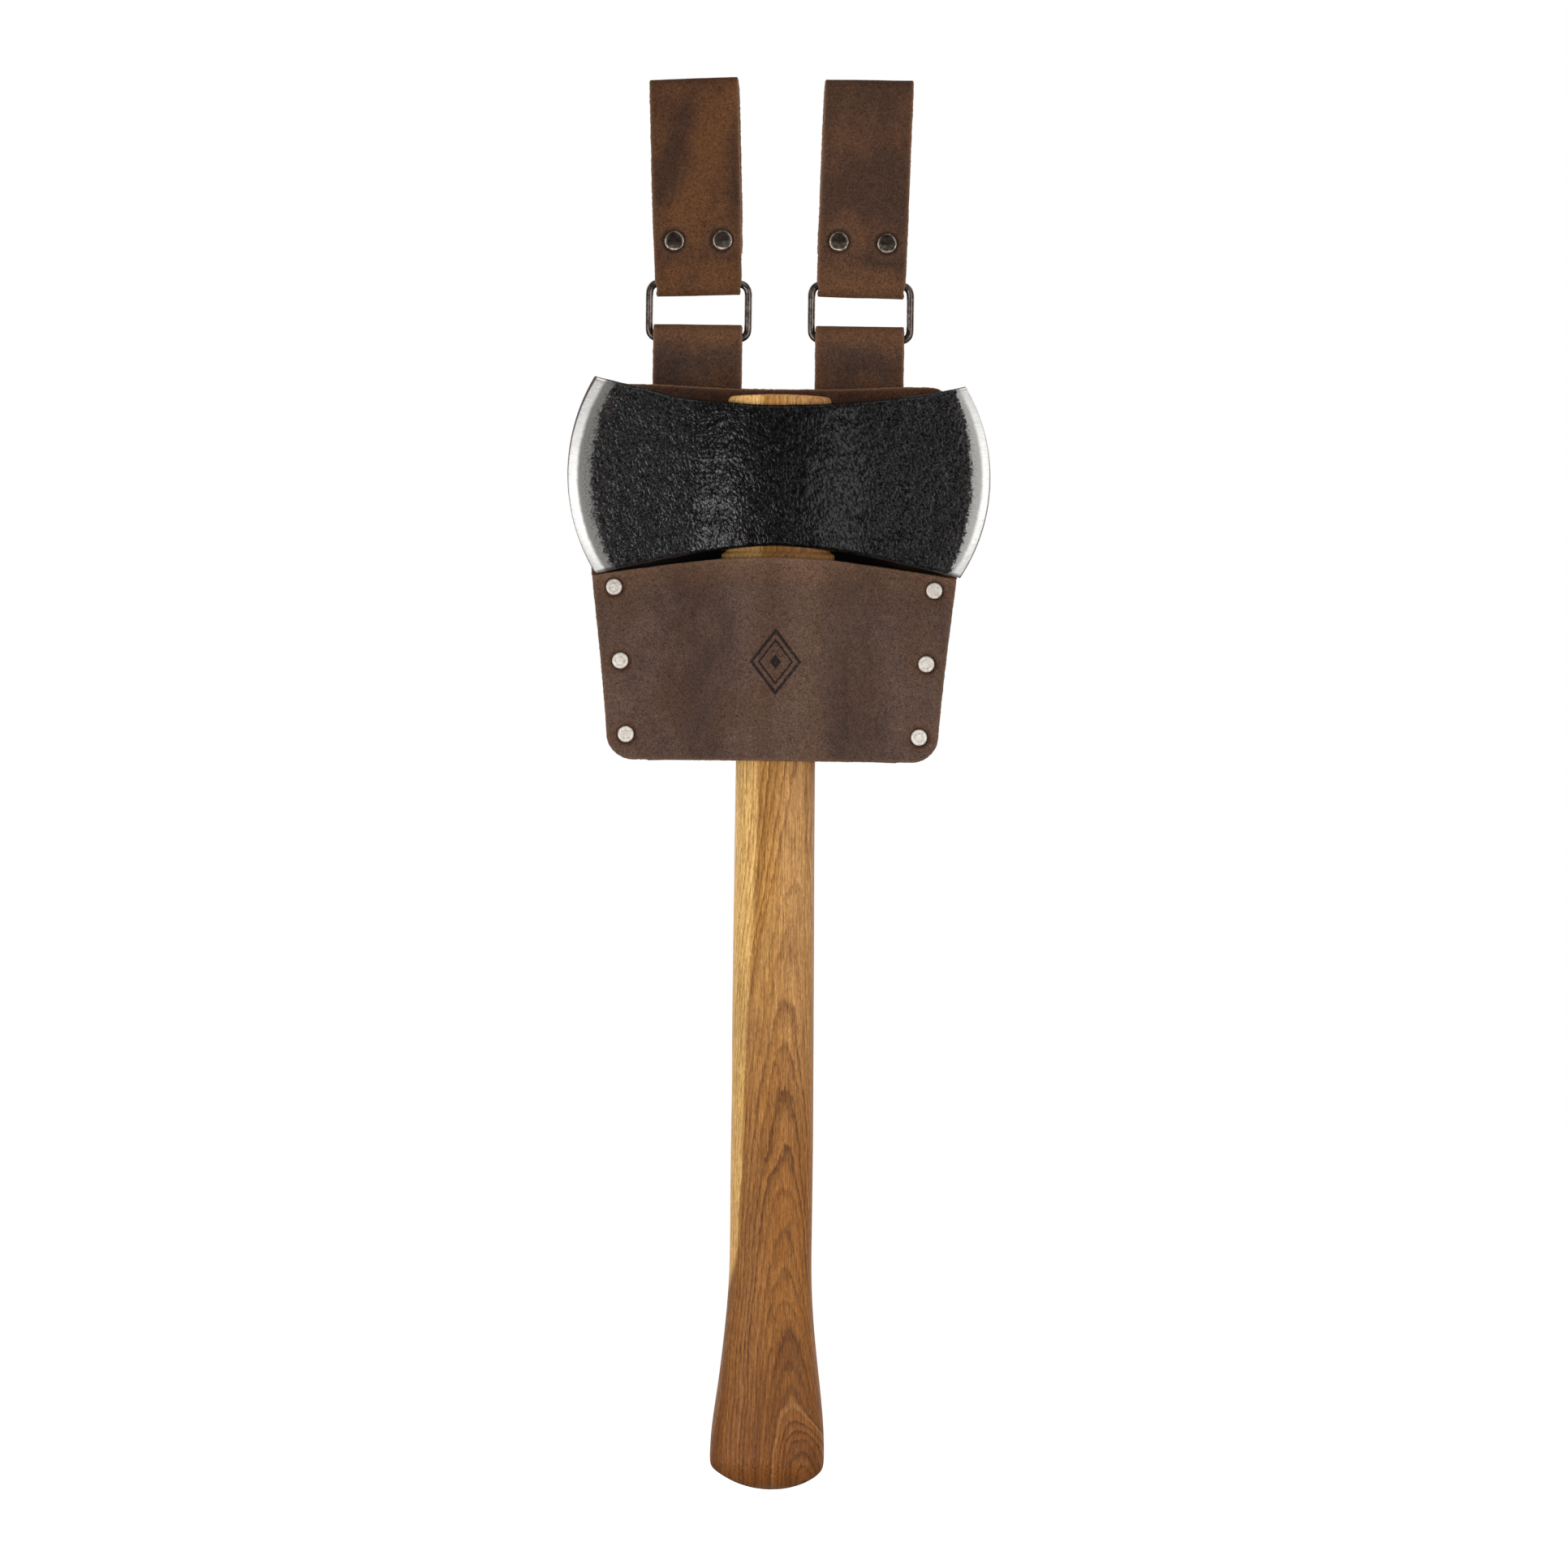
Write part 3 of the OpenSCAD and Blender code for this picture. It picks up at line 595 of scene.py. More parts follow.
def set_attribute(mesh, name, values):
    attribute = mesh.attributes.new(name, "FLOAT", "POINT")
    attribute.data.foreach_set("value", np.asarray(values, np.float32).ravel())


def build(name, points, faces, material, body, slot, stands_for, attributes={}):
    piece = new_object(name, points, faces)
    piece.data.shade_smooth()
    for key, values in attributes.items():
        set_attribute(piece.data, key, values)
    piece.data.materials.append(material)
    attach(piece, body)
    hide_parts(stands_for)
    return piece


def cut(piece, points, faces):
    """Cuts a closed shape out of a piece, and leaves no modifier or cutter behind."""
    cutter = new_object("cutter", points, faces)
    modifier = piece.modifiers.new("cut", "BOOLEAN")
    modifier.operation, modifier.solver, modifier.object = "DIFFERENCE", "EXACT", cutter
    graph = bpy.context.evaluated_depsgraph_get()
    mesh = bpy.data.meshes.new_from_object(piece.evaluated_get(graph), depsgraph=graph)
    piece.modifiers.clear()
    uncut, cutter_mesh = piece.data, cutter.data
    piece.data = mesh
    mesh.name = piece.name
    bpy.data.meshes.remove(uncut)
    bpy.data.objects.remove(cutter)
    bpy.data.meshes.remove(cutter_mesh)


def strip(first, second):
    """Quads between rows of indices, open at their ends."""
    return np.stack([first[..., :-1], first[..., 1:], second[..., 1:], second[..., :-1]],
                    -1).reshape(-1, 4)


def band(first, second):
    """Quads between rings of indices."""
    return np.stack([first, np.roll(first, -1, -1), np.roll(second, -1, -1), second],
                    -1).reshape(-1, 4)


def fan(tip, ring, flip=False):
    after = np.roll(ring, -1)
    first, second = (after, ring) if flip else (ring, after)
    return [[tip, a, b] for a, b in zip(first, second)]


def prism(low, high):
    """A closed prism between two matching outlines."""
    m = len(low)
    faces = [[j, (j + 1) % m, m + (j + 1) % m, m + j] for j in range(m)]
    return np.concatenate([low, high]), faces + [[0, *range(m - 1, 0, -1)],
                                                 list(range(m, 2 * m))]


def oval(half_x, half_y, power, count):
    """A superellipse in X and Y."""
    angle = 2 * np.pi * (np.arange(count) + 0.5) / count
    c, s = np.cos(angle), np.sin(angle)
    return np.stack([half_x * np.sign(c) * np.abs(c) ** (2 / power),
                     half_y * np.sign(s) * np.abs(s) ** (2 / power)], -1)


RIM_STEPS = (0.0, 0.07, 0.18, 0.32, 0.5, 0.8)
CORNER_STEPS = RIM_STEPS + (1.2, 1.7, 2.3, 3.0, 3.8, 4.7, 5.7, 6.8, 8.0)


def spaced(length, step, start=RIM_STEPS, end=None):
    """Distances along a side, close together at both ends."""
    start = np.array(start)
    end = start if end is None else np.array(end)
    count = max(2, int(round((length - start[-1] - end[-1]) / step)) + 1)
    return np.concatenate([start[:-1], np.linspace(start[-1], length - end[-1], count),
                           length - end[::-1][1:]])


def border(grid, inset):
    """The indices round a grid, or for each the one that many rows further in."""
    k = inset
    return np.concatenate([grid[k, :-1], grid[:-1, -1 - k], grid[-1 - k, :0:-1],
                           grid[:0:-1, k]])


def unit(vectors):
    return vectors / (np.linalg.norm(vectors, axis=-1, keepdims=True) + 1e-12)


EDGE_ROUND = 0.55                          # rounding radius of a leather edge
EDGE_FUZZ = 0.20                           # roughness of the cut edge
EDGE_ROWS = 4                              # rows of points across the cut edge


def sheet(surface, thickness, inset, outer, seed, inner=0.0, pull_and_highlight=0.0, dark=0.0, warm=0.0,
          tan=0.0, inner_dark=0.3):
    """A closed sheet of leather about a middle surface, with rounded, fibrous cut edges.

    inset is the distance in from the edge; outer and inner offset the two faces."""
    rows, columns, _ = surface.shape
    normal = unit(np.cross(np.gradient(surface, axis=1), np.gradient(surface, axis=0)))
    k = np.clip(inset / EDGE_ROUND, 0, 1)
    lip = thickness / 2 - EDGE_ROUND + EDGE_ROUND * np.sqrt(np.clip(1 - (1 - k) ** 2, 0, 1))
    micro = fbm(surface, 0.55, 2, seed) * 0.035
    front = (surface + normal * (lip + micro + outer * k)[..., None]).reshape(-1, 3)
    back = (surface - normal * (lip + micro * 0.5 - inner * k)[..., None]).reshape(-1, 3)
    count = rows * columns
    grid = np.arange(count).reshape(rows, columns)
    loop = border(grid, 0)
    middle_line = (front[loop] + back[loop]) / 2
    along = np.roll(middle_line, -1, 0) - np.roll(middle_line, 1, 0)
    outward = unit(np.cross(along, normal.reshape(-1, 3)[loop]))
    # outward is the side away from the next row of the grid
    if ((middle_line - surface.reshape(-1, 3)[border(grid, 1)]) * outward).sum() < 0:
        outward = -outward
    edge_rings = []
    for row in range(1, EDGE_ROWS + 1):
        w = row / (EDGE_ROWS + 1)
        base = front[loop] * (1 - w) + back[loop] * w
        swell = 0.16 * math.sin(math.pi * w)
        fuzz = fbm(base, 0.9, 4, seed + 5) * EDGE_FUZZ
        edge_rings.append(base + outward * (swell + fuzz)[:, None])
    faces = [strip(grid[:-1], grid[1:]), strip(grid[:-1] + count, grid[1:] + count)[:, ::-1]]
    size = len(loop)
    chain = [loop] + [2 * count + row * size + np.arange(size) for row in range(EDGE_ROWS)]
    chain.append(loop + count)
    faces += [band(first, second) for first, second in zip(chain[:-1], chain[1:])]

    def spread(values, on_front, on_back, on_edge):
        values = np.broadcast_to(values, grid.shape).reshape(-1)
        return np.concatenate([values * on_front, values * on_back]
                              + [values[loop] * on_edge] * EDGE_ROWS)

    near = np.exp(-np.clip(inset.reshape(-1) - 0.15, 0, None) / 0.38) * 0.9
    attributes = {"edge": np.concatenate([near, near, np.ones(size * EDGE_ROWS)]),
                  "pull_and_highlight": spread(pull_and_highlight, 1, 0.6, 1), "dark": spread(dark, 1, inner_dark, 0.5),
                  "warm": spread(warm, 1, 0.3, 1), "tan": spread(tan, 1, 1, 1)}
    return np.concatenate([front, back] + edge_rings), np.concatenate(faces), attributes


# ------------------------------------------------------------------ head
EDGE_RADIUS = 79.6                         # curve of the cutting edges
EDGE_CENTRE = HEAD_HALF - EDGE_RADIUS
EYE_HALF = 22.4
RIM_ROWS = 8                               # rows of points across the top and bottom rims


def head_top(x):
    return 30.8 + 10.0 * (np.abs(x) / 80) ** 2


def head_bottom(x):
    return -30.1 - 13.1 * (np.abs(x) / 80) ** 1.6


def head_thickness(x, z):
    """(half thickness, distance from the cutting edge, width of the bevel)."""
    depth = np.clip(EDGE_RADIUS - np.sqrt((np.abs(x) - EDGE_CENTRE) ** 2 + z ** 2), 0, None)
    height = (np.abs(z) / 42) ** 2
    bevel = np.where(x < 0, 10.7 - 2.8 * height, 8.2 - 3.2 * height)
    turn = np.where(x < 0, 4.4, 3.6)

    def ground(at):
        """Two ground facets: a steep narrow one at the edge and a flatter one behind it."""
        return 0.10 + 0.36 * at - 0.18 * (0.9 * np.log1p(np.exp((at - turn) / 0.9)))

    heel = 9.2                             # depth at which the grinding ends
    blade = np.where(depth < heel, ground(depth), ground(heel) + 0.055 * (depth - heel))
    blade = np.where(np.abs(x) < EDGE_CENTRE, blade.clip(0, 7), blade)
    # the cheeks: nearly flat over the eye, steepest 24 mm out, easing into the blades
    out = np.sqrt(x ** 2 + 12) - math.sqrt(12)
    cheek = 14 - 0.09 * out - 2.65 * (np.tanh((out - 24.0) / 8.5) + math.tanh(24.0 / 8.5))
    cheek = cheek - 1.35 * ((z - 1) / 30) ** 2 * ease((62 - out) / 30)
    soft = 1.6                             # width of the blend between cheek and blade
    share = np.clip(0.5 + 0.5 * (cheek - blade) / soft, 0, 1)
    half = blade * (1 - share) + cheek * share + soft * share * (1 - share)
    return half, depth, bevel


def head_mesh():
    u = spaced(2 * HEAD_HALF, 0.62, [0, 0.25, 0.55, 0.95, 1.45, 2.1, 2.9, 3.8])
    u = u / u[-1] * 2 - 1
    v = spaced(72.0, 0.62, [0, 0.10, 0.25, 0.5, 0.85, 1.3, 1.8])
    v = v / v[-1]
    # where each row meets the cutting edge
    edge_x = np.full(len(v), 82.0)
    for _ in range(60):
        z = head_bottom(edge_x) + (head_top(edge_x) - head_bottom(edge_x)) * v
        arc_x = EDGE_CENTRE + np.sqrt(np.clip(EDGE_RADIUS ** 2 - z ** 2, 0, None))
        edge_x = 0.5 * edge_x + 0.5 * arc_x
    x = u[None, :] * edge_x[:, None]
    # the upper horn at -X is drawn out further, and the forged outline is slightly uneven
    taper = 1 - np.abs(u[None, :]) ** 8
    top = head_top(x) + np.where(x < 0, 1.5, -1.1) * ease((np.abs(x) - 42) / 20)
    top = top + 0.28 * fbm(xyz(x, 0, 9), 0.06, 3, seed=2) * taper
    bottom = head_bottom(x) + 0.28 * fbm(xyz(x, 0, -9), 0.06, 3, seed=4) * taper
    z = bottom + (top - bottom) * v[:, None]
    half, depth, bevel = head_thickness(x, z)
    inset = np.minimum(z - bottom, top - z)
    rounding = np.minimum(1.7, 0.75 * half)
    k = np.clip(inset / rounding, 0, 1)
    shape = half - rounding + rounding * np.sqrt(np.clip(1 - (1 - k) ** 2, 0, 1))
    # hammer marks, fading out at the rims and on the bevels
    marked = ease((depth - bevel + 0.3) / 1.2) * np.clip(inset / 1.5, 0, 1)
    sides = []
    for side, seed in ((-1, 1), (1, 21)):
        at = xyz(x, side * 40, z)
        hammer = fbm(at, 0.11, 2, seed) * 0.24 + fbm(at, 0.36, 3, seed + 7) * 0.13
        sides.append(xyz(x, side * (shape + hammer * marked), z))
    front, back = sides
    count = x.size
    grid = np.arange(count).reshape(x.shape)
    points = [front.reshape(-1, 3), back.reshape(-1, 3)]
    quads = [strip(grid[:-1], grid[1:]), strip(grid[:-1] + count, grid[1:] + count)[:, ::-1]]
    # top and bottom rims: a gently crowned strip between the two sides
    start = 2 * count
    rims = {}
    for row, up, seed in ((-1, 1, 3), (0, -1, 5)):
        lines = [grid[row]]
        thick = np.abs(front[row][:, 1])
        for step in range(1, RIM_ROWS + 1):
            w = step / (RIM_ROWS + 1)
            base = front[row] * (1 - w) + back[row] * w
            crown = 0.35 * math.sin(math.pi * w) * np.clip(thick / 3, 0, 1)
            uneven = fbm(base, 0.25, 2, seed) * 0.12 * np.clip(thick / 2, 0, 1)
            base[:, 2] += up * (crown + uneven)
            points.append(base)
            lines.append(start + np.arange(len(u)))
            start += len(u)
        lines.append(grid[row] + count)
        rims[row] = lines
        quads += [strip(first, second)[:, ::up] for first, second in zip(lines, lines[1:])]
    # the cutting edges close the two ends
    end_faces = []
    for column in (0, -1):
        quads.append(strip(grid[:, column], grid[:, column] + count))
        end_faces += [[line[column] for line in rims[row]] for row in (0, -1)]
    return np.concatenate(points), np.concatenate(quads).tolist() + end_faces


points, faces = head_mesh()
head = build("axe_head_forged", points + [HATCHET_X, 0, 0], faces, FORGED_STEEL, "hatchet",
             "forged_steel", "axe_head")
eye = oval(EYE_HALF, 9.5, 2.6, 96) + [HATCHET_X, 0]
cut(head, *prism(xyz(*eye.T, -60), xyz(*eye.T, 60)))
points = from_mesh(head.data)
_, depth, bevel = head_thickness(points[:, 0] - HATCHET_X, points[:, 2])
set_attribute(head.data, "edge_mm", depth)
set_attribute(head.data, "bevel_mm", bevel)
for polygon in head.data.polygons:
    polygon.use_smooth = True


# ------------------------------------------------------------------ haft
SEAT = float(head_bottom(EYE_HALF)) - 0.4  # where the tongue widens under the head
SHOULDER = SEAT - 1.9
KNOB = HAFT_END + 15.3                     # where the domed end begins
NECK_HALF, SHOULDER_HALF, KNOB_HALF = 17.2, 24.4, 24.7
FLARE_LENGTH = 91
END_RADIUS = 33.9
HAFT_COUNT = 112                           # points round the haft
# Drop below the tongue's top, size.
TONGUE_ROUNDING = ((0.0, 0.86), (0.0, 0.90), (0.10, 0.93), (0.35, 0.958), (0.75, 0.978),
                   (1.3, 0.992), (2.0, 1.0))


def haft_half(z):
    """Half widths in X and Y below the shoulder."""
    lower = ease((-127 - z) / 120)
    flare = (KNOB + FLARE_LENGTH - z) / FLARE_LENGTH
    half_x = (NECK_HALF + (SHOULDER_HALF - NECK_HALF) * (1 - ease((SHOULDER - 3 - z) / 44))
              + 0.8 * lower + (KNOB_HALF - 18.0) * ease(np.clip(flare, 0, 1) ** 1.2))
    half_y = 11 + 0.5 * ease((SHOULDER - z) / 60) + 0.5 * lower + 1.5 * ease(flare)
    return float(half_x), float(half_y)


def tongue_drop(x, z):
    """The tongue's top is cut slightly domed, lower towards its ends."""
    return 1.2 * (x / EYE_HALF) ** 2 * ease((z - 27) / 8)


def haft_mesh():
    tongue = oval(22.35, 9.45, 2.6, HAFT_COUNT)
    stations = [(TONGUE_TOP - drop, size) for drop, size in TONGUE_ROUNDING]
    stations += [(z, 1.0) for z in np.arange(31.0, SEAT, -4.0)] + [(SEAT + 0.02, 1.0)]
    rings = [xyz(*(tongue * size).T, z) for z, size in stations]
    for w in np.linspace(0, 1, 8)[1:]:
        wide = oval(*haft_half(SHOULDER - 3.0 * w), 2.5, HAFT_COUNT)
        outline = tongue * (1 - ease(w)) + wide * ease(w)
        rings.append(xyz(*outline.T, SEAT - 1.9 * w))
    stations = [(z, 1.0) for z in np.arange(SHOULDER - 1.0, KNOB, -1.25)]
    for w in np.linspace(0, 1, 30) ** 0.72:
        z = KNOB + (HAFT_END + 0.02 - KNOB) * w
        rise = END_RADIUS ** 2 - (z - HAFT_END - END_RADIUS) ** 2
        dome = math.sqrt(max(0.0, rise)) / KNOB_HALF
        # a small rounding where the side meets the domed end
        soft = 0.045
        size = -soft * math.log(math.exp(-1.0 / soft) + math.exp(-max(dome, 0.02) / soft))
        stations.append((z, size))
    for z, size in stations:
        power = 2.5 + (2.25 - 2.5) * float(ease((SHOULDER - z) / 60))
        ring = xyz(*(oval(*haft_half(z), power, HAFT_COUNT) * size).T, z)
        uneven = fbm(ring, 0.02, 2, seed=3, stretch=(1, 1, 0.5)) * 0.35 * size
        length = np.linalg.norm(ring[:, :2], axis=1, keepdims=True) + 1e-9
        fade_in = min(1.0, (SHOULDER - z) / 12 + 0.02)
        ring[:, :2] += ring[:, :2] / length * uneven[:, None] * fade_in
        rings.append(ring)
    size = len(rings) * HAFT_COUNT
    tips = [[0, 0, TONGUE_TOP + 0.05], [0, 0, stations[-1][0] - 0.02]]
    grid = np.arange(size).reshape(-1, HAFT_COUNT)
    seam = grid[:, [-1, 0]]
    faces = strip(grid[:-1], grid[1:]).tolist() + strip(seam[:-1], seam[1:]).tolist()
    faces += fan(size, grid[0], flip=True) + fan(size + 1, grid[-1])
    return np.concatenate(rings + [np.array(tips)]), faces


def shape_haft(points):
    """Small irregularities of the hand-cut haft."""
    x, z = points[:, 0], points[:, 2]      # views, changed in place
    z -= tongue_drop(x, z)
    z -= 0.040 * x * ease((KNOB + 2 - z) / 14)               # the end is cut a little askew
    x += 0.9 * ease((-150 - z) / 100) * ease((z + 425) / 40) * (-x / 17).clip(0, 1)
    z -= 0.8 * ease((KNOB + 9 - z) / 9) * (x / 20) ** 2
    x += HATCHET_X


# Both wedges: half thickness at the bottom and top, and the bottom's height.
WOOD_LOW, WOOD_HIGH, WOOD_BOTTOM = 0.5, 1.6, -6.0
STEEL_LOW, STEEL_HIGH, STEEL_BOTTOM = 0.3, 1.1, 20.4
STEEL_HALF_WIDTH = 6.5


def slot_section(low, high, bottom, gap):
    """Thickness and height of a tapered slot that is open above the tongue."""
    return np.array([[-low - gap, bottom - 2 * gap], [low + gap, bottom - 2 * gap],
                     [high + gap, 36.4], [-high - gap, 36.4]]).T


def wood_slot():
    across, z = slot_section(WOOD_LOW, WOOD_HIGH, WOOD_BOTTOM, 0.06)
    return prism(xyz(-30.0, across, z), xyz(30.0, across, z))


def steel_slot(gap):
    across, z = slot_section(STEEL_LOW, STEEL_HIGH, STEEL_BOTTOM, gap)
    end = STEEL_HALF_WIDTH + gap
    return prism(xyz(across, -end, z), xyz(across, end, z))


def wedge_mesh():
    """The wooden wedge, driven along the tongue and trimmed with it."""
    x = np.linspace(-21.3, 21.3, 60)
    top = 35.1 - tongue_drop(x, TONGUE_TOP) + 0.10 * np.sin(x * 1.7)
    half = (WOOD_LOW + (WOOD_HIGH - WOOD_LOW) * (top - WOOD_BOTTOM)
            / (TONGUE_TOP - WOOD_BOTTOM))
    size = np.minimum(1.0, 9.5 * (1 - (abs(x) / 21.6) ** 2.6) ** (1 / 2.6) / WOOD_HIGH)
    section = ((-WOOD_LOW, WOOD_BOTTOM), (WOOD_LOW, WOOD_BOTTOM), (half - 0.25, top - 0.25),
               (half - 0.5, top), (0.5 - half, top), (0.25 - half, top - 0.25))
    points = np.stack([xyz(x + HATCHET_X, y * size, z) for y, z in section], 1)
    grid = np.arange(len(x) * len(section)).reshape(len(x), -1)
    faces = band(grid[:-1], grid[1:]).tolist() + [grid[0], grid[-1]]
    return points.reshape(-1, 3), faces


points, faces = haft_mesh()
shape_haft(points)
haft = build("haft", points, faces, HAFT_WOOD, "hatchet", "haft_wood", "handle")
cut(haft, *wood_slot())
cut(haft, *steel_slot(0.06))

wedge = build("wedge_of_wood", *wedge_mesh(), WEDGE_WOOD, "hatchet", "wedge_wood",
              "wooden_wedge")
cut(wedge, *steel_slot(0.03))
for polygon in wedge.data.polygons:
    polygon.use_smooth = False

z = from_mesh(haft.data)[:, 2]
set_attribute(haft.data, "end",
              np.where(z > 34.9, 1.0, np.clip((HAFT_END + 2.2 - z) / 1.4, 0, 1) * 0.6))
for polygon in haft.data.polygons:
    polygon.use_smooth = len(polygon.vertices) == 4 and polygon.normal.z < 0.98

steel_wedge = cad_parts["steel_wedge"]
steel_wedge.data.materials.clear()
steel_wedge.data.materials.append(WEDGE_STEEL)


# ------------------------------------------------------------------ pocket
FOOT = 122.6                               # the pocket's bottom lies at -FOOT
BACK_TOP = 39.2
PANEL_SPAN = 157.0
RIM_HALF = 78.8                            # half width where the front's rim meets the back
PANEL_GAP = 0.02                           # between the front and back panels


def side_x(z):
    return 71.5 + 6.9 * np.clip((z + FOOT - 11) / 68.7, 0, 1) ** 1.15


def rim(x):
    """Height of the front panel's upper edge."""
    return -35 - 8.4 * (np.abs(x) / RIM_HALF) ** 1.6


RIVET_ROWS = ((-48.7, 8.6), (-80.5, 8.2), (-112.2, 8.2))     # height, inset from the side
POCKET_RIVETS = [(side * (float(side_x(z)) - inset), z + 0.3)
                 for side in (-1, 1) for z, inset in RIVET_ROWS]


def rounded(width, distance, radius):
    """A half width reduced by a rounded corner, at a distance in from its end."""
    distance = np.clip(distance, 0, radius)
    return width - radius + np.sqrt(np.clip(radius ** 2 - (radius - distance) ** 2, 0, None))


def lower_width(z):
    return rounded(side_x(z), z + FOOT, 11.5)


def rivet_distance(x, z, rivets):
    return np.min([np.hypot(x - rivet_x, z - rivet_z) for rivet_x, rivet_z in rivets], 0)


def panel_columns(step):
    u = spaced(PANEL_SPAN, step)
    return (u / u[-1] * 2 - 1)[None, :]


def front_panel():
    u = panel_columns(1.05)
    v = spaced(80.0, 1.05, CORNER_STEPS, RIM_STEPS)
    v = (v / v[-1])[:, None]
    width = lower_width(-FOOT + (FOOT - 41.0) * v)
    x = u * width
    # slightly uneven hand-cut rim
    z = -FOOT + (rim(x) + FOOT) * v + 0.35 * fbm(xyz(x, 0, 0), 0.03, 2, seed=8) * v ** 4

    def inner_y(at):
        """The inner face: flat at the sides, bulging forward over the haft."""
        wave = np.cos(np.pi * np.clip((np.abs(at) - 9) / 45, 0, 1))
        return BACK_Y - PANEL_GAP - 30.48 * (1 + wave) / 2

    slope = (inner_y(x + 0.05) - inner_y(x - 0.05)) / 0.1
    length = np.sqrt(1 + slope * slope)
    half = LEATHER / 2
    surface = xyz(x + half * slope / length, inner_y(x) - half / length, z)
    on_dome = ease((58 - np.abs(x)) / 22)
    below = rim(x) - z
    y = surface[..., 1]                    # a view, changed in place
    y -= on_dome * 0.9 * np.exp(-below / 7.0)                # the mouth flares a little
    y += on_dome * 0.55 * bell(x - 2.0, 5.5) * ease((-45 - z) / 60)  # dent down the middle
    y -= on_dome * 0.7 * fbm(surface, 0.022, 2, seed=31, stretch=(1, 0, 0.6))
    rivet = rivet_distance(x, z, POCKET_RIVETS)
    shade = rivet_distance(x - 0.35, z + 0.15, POCKET_RIVETS)
    sink = -0.95 * bell(rivet, 4.6) + 0.20 * bell(rivet - 6.8, 1.6)
    uneven = fbm(surface, 0.05, 2, seed=12) * 0.16 + fbm(surface, 0.16, 2, seed=13) * 0.05
    inset = np.minimum(np.minimum((u + 1) * width, (1 - u) * width),
                       np.minimum(z + FOOT, below).clip(0))
    # painted shade: a dark ring round each rivet, set a little down and right like a cast
    # shadow, and a faint dark band down the middle crease
    dark = bell(shade - 3.75, 0.75) + 0.24 * bell(x + 1.0, 6.0) * ease((z + 104) / 30)
    warm = (0.9 * bell(rivet - 4.6, 2.2) + 0.5 * bell(x + 2.0, 9.0) * ease((z + 112) / 30)
            + 0.5 * bell(below - 6, 5.0))
    # paler where the mouth is bent over; the band down the dome's right slope is a painted
    # highlight
    pull_and_highlight = (0.8 * bell(below, 2.6) + 0.42 * bell(below - 5, 5.5)
            + 0.34 * on_dome * bell(x - 15, 7.5))
    return sheet(surface, LEATHER, inset, sink + uneven, seed=3, pull_and_highlight=pull_and_highlight.clip(0, 1),
                 dark=dark.clip(0, 1), warm=warm.clip(0, 1))


def back_panel():
    u = panel_columns(1.25)
    height = FOOT + BACK_TOP
    rise = spaced(height, 1.25, CORNER_STEPS + (9.4,))[:, None]
    row_z = -FOOT + rise
    mouth = float(rim(RIM_HALF))
    upper = RIM_HALF + 0.4 * np.clip((row_z - mouth) / 23.4, 0, 1)
    width = np.where(row_z < mouth, lower_width(row_z), upper)
    width = rounded(width, BACK_TOP - row_z, 14.0)
    x = u * width
    v = rise / rise[-1]
    # the top edge sags in the middle and is slightly uneven
    sag = -1.6 * (1 - np.clip(np.abs(x) / 52, 0, 1) ** 2)
    z = row_z + sag * v ** 6 + 0.3 * fbm(xyz(x, 0, 0), 0.03, 2, seed=18) * v ** 8
    surface = xyz(x, BACK_Y + LEATHER / 2, z)
    # the free upper part bows very slightly
    surface[..., 1] += 0.25 * fbm(surface, 0.018, 2, seed=5) * ease((z + 40) / 60)
    pocket = rivet_distance(x, z, POCKET_RIVETS)
    hanger = rivet_distance(x + POCKET_X, z, HANGER_RIVETS)
    inset = np.minimum(np.minimum((u + 1) * width, (1 - u) * width),
                       np.minimum(rise, height - rise))
    # painted shade inside the pocket below the front's rim, its upper edge broken by noise,
    # and a painted dark ring round each hanger rivet
    shade_edge_noise = fbm(surface, 0.08, 3, seed=77) * 5.0
    inside = ease((-23 - z + shade_edge_noise) / 11) * ease((74 - np.abs(x)) / 3)
    dark = inside * 1.3 + bell(hanger - 4.8, 0.8) * 0.8
    pull_and_highlight = 0.5 * np.exp(-np.clip(BACK_TOP - z, 0, None) / 3.0)
    return sheet(surface, LEATHER, inset, -0.6 * bell(hanger, 5.2), seed=23,
                 inner=0.7 * bell(pocket, 4.4), pull_and_highlight=pull_and_highlight, dark=dark.clip(0, 1.36),
                 inner_dark=0.0)


for name, panel, material, stands_for in (
        ("pocket_front", front_panel, POCKET_LEATHER, "front_panel"),
        ("pocket_back", back_panel, BACK_LEATHER, "back_panel")):
    points, faces, attributes = panel()
    build(name, points + [POCKET_X, 0, 0], faces, material, "holster", "pocket_leather",
          stands_for, attributes)


# ------------------------------------------------------------------ straps
LAYER = STRAP + 0.1                        # pitch of two straps lying on each other
FRONT_Y = loop_box[0].y * 1000 - ORIGIN_Y + STRAP / 2
TAIL_Y, REAR_Y = FRONT_Y + LAYER, FRONT_Y + 2 * LAYER
EYE_RADIUS = RING_Y - FRONT_Y              # of the hanger's bend round the ring
FOLD_RADIUS = 8.0 / 2 + STRAP / 2          # of the loop's top fold, 8 mm clear inside
FOLD_Z = LOOP_TOP - FOLD_RADIUS - STRAP / 2


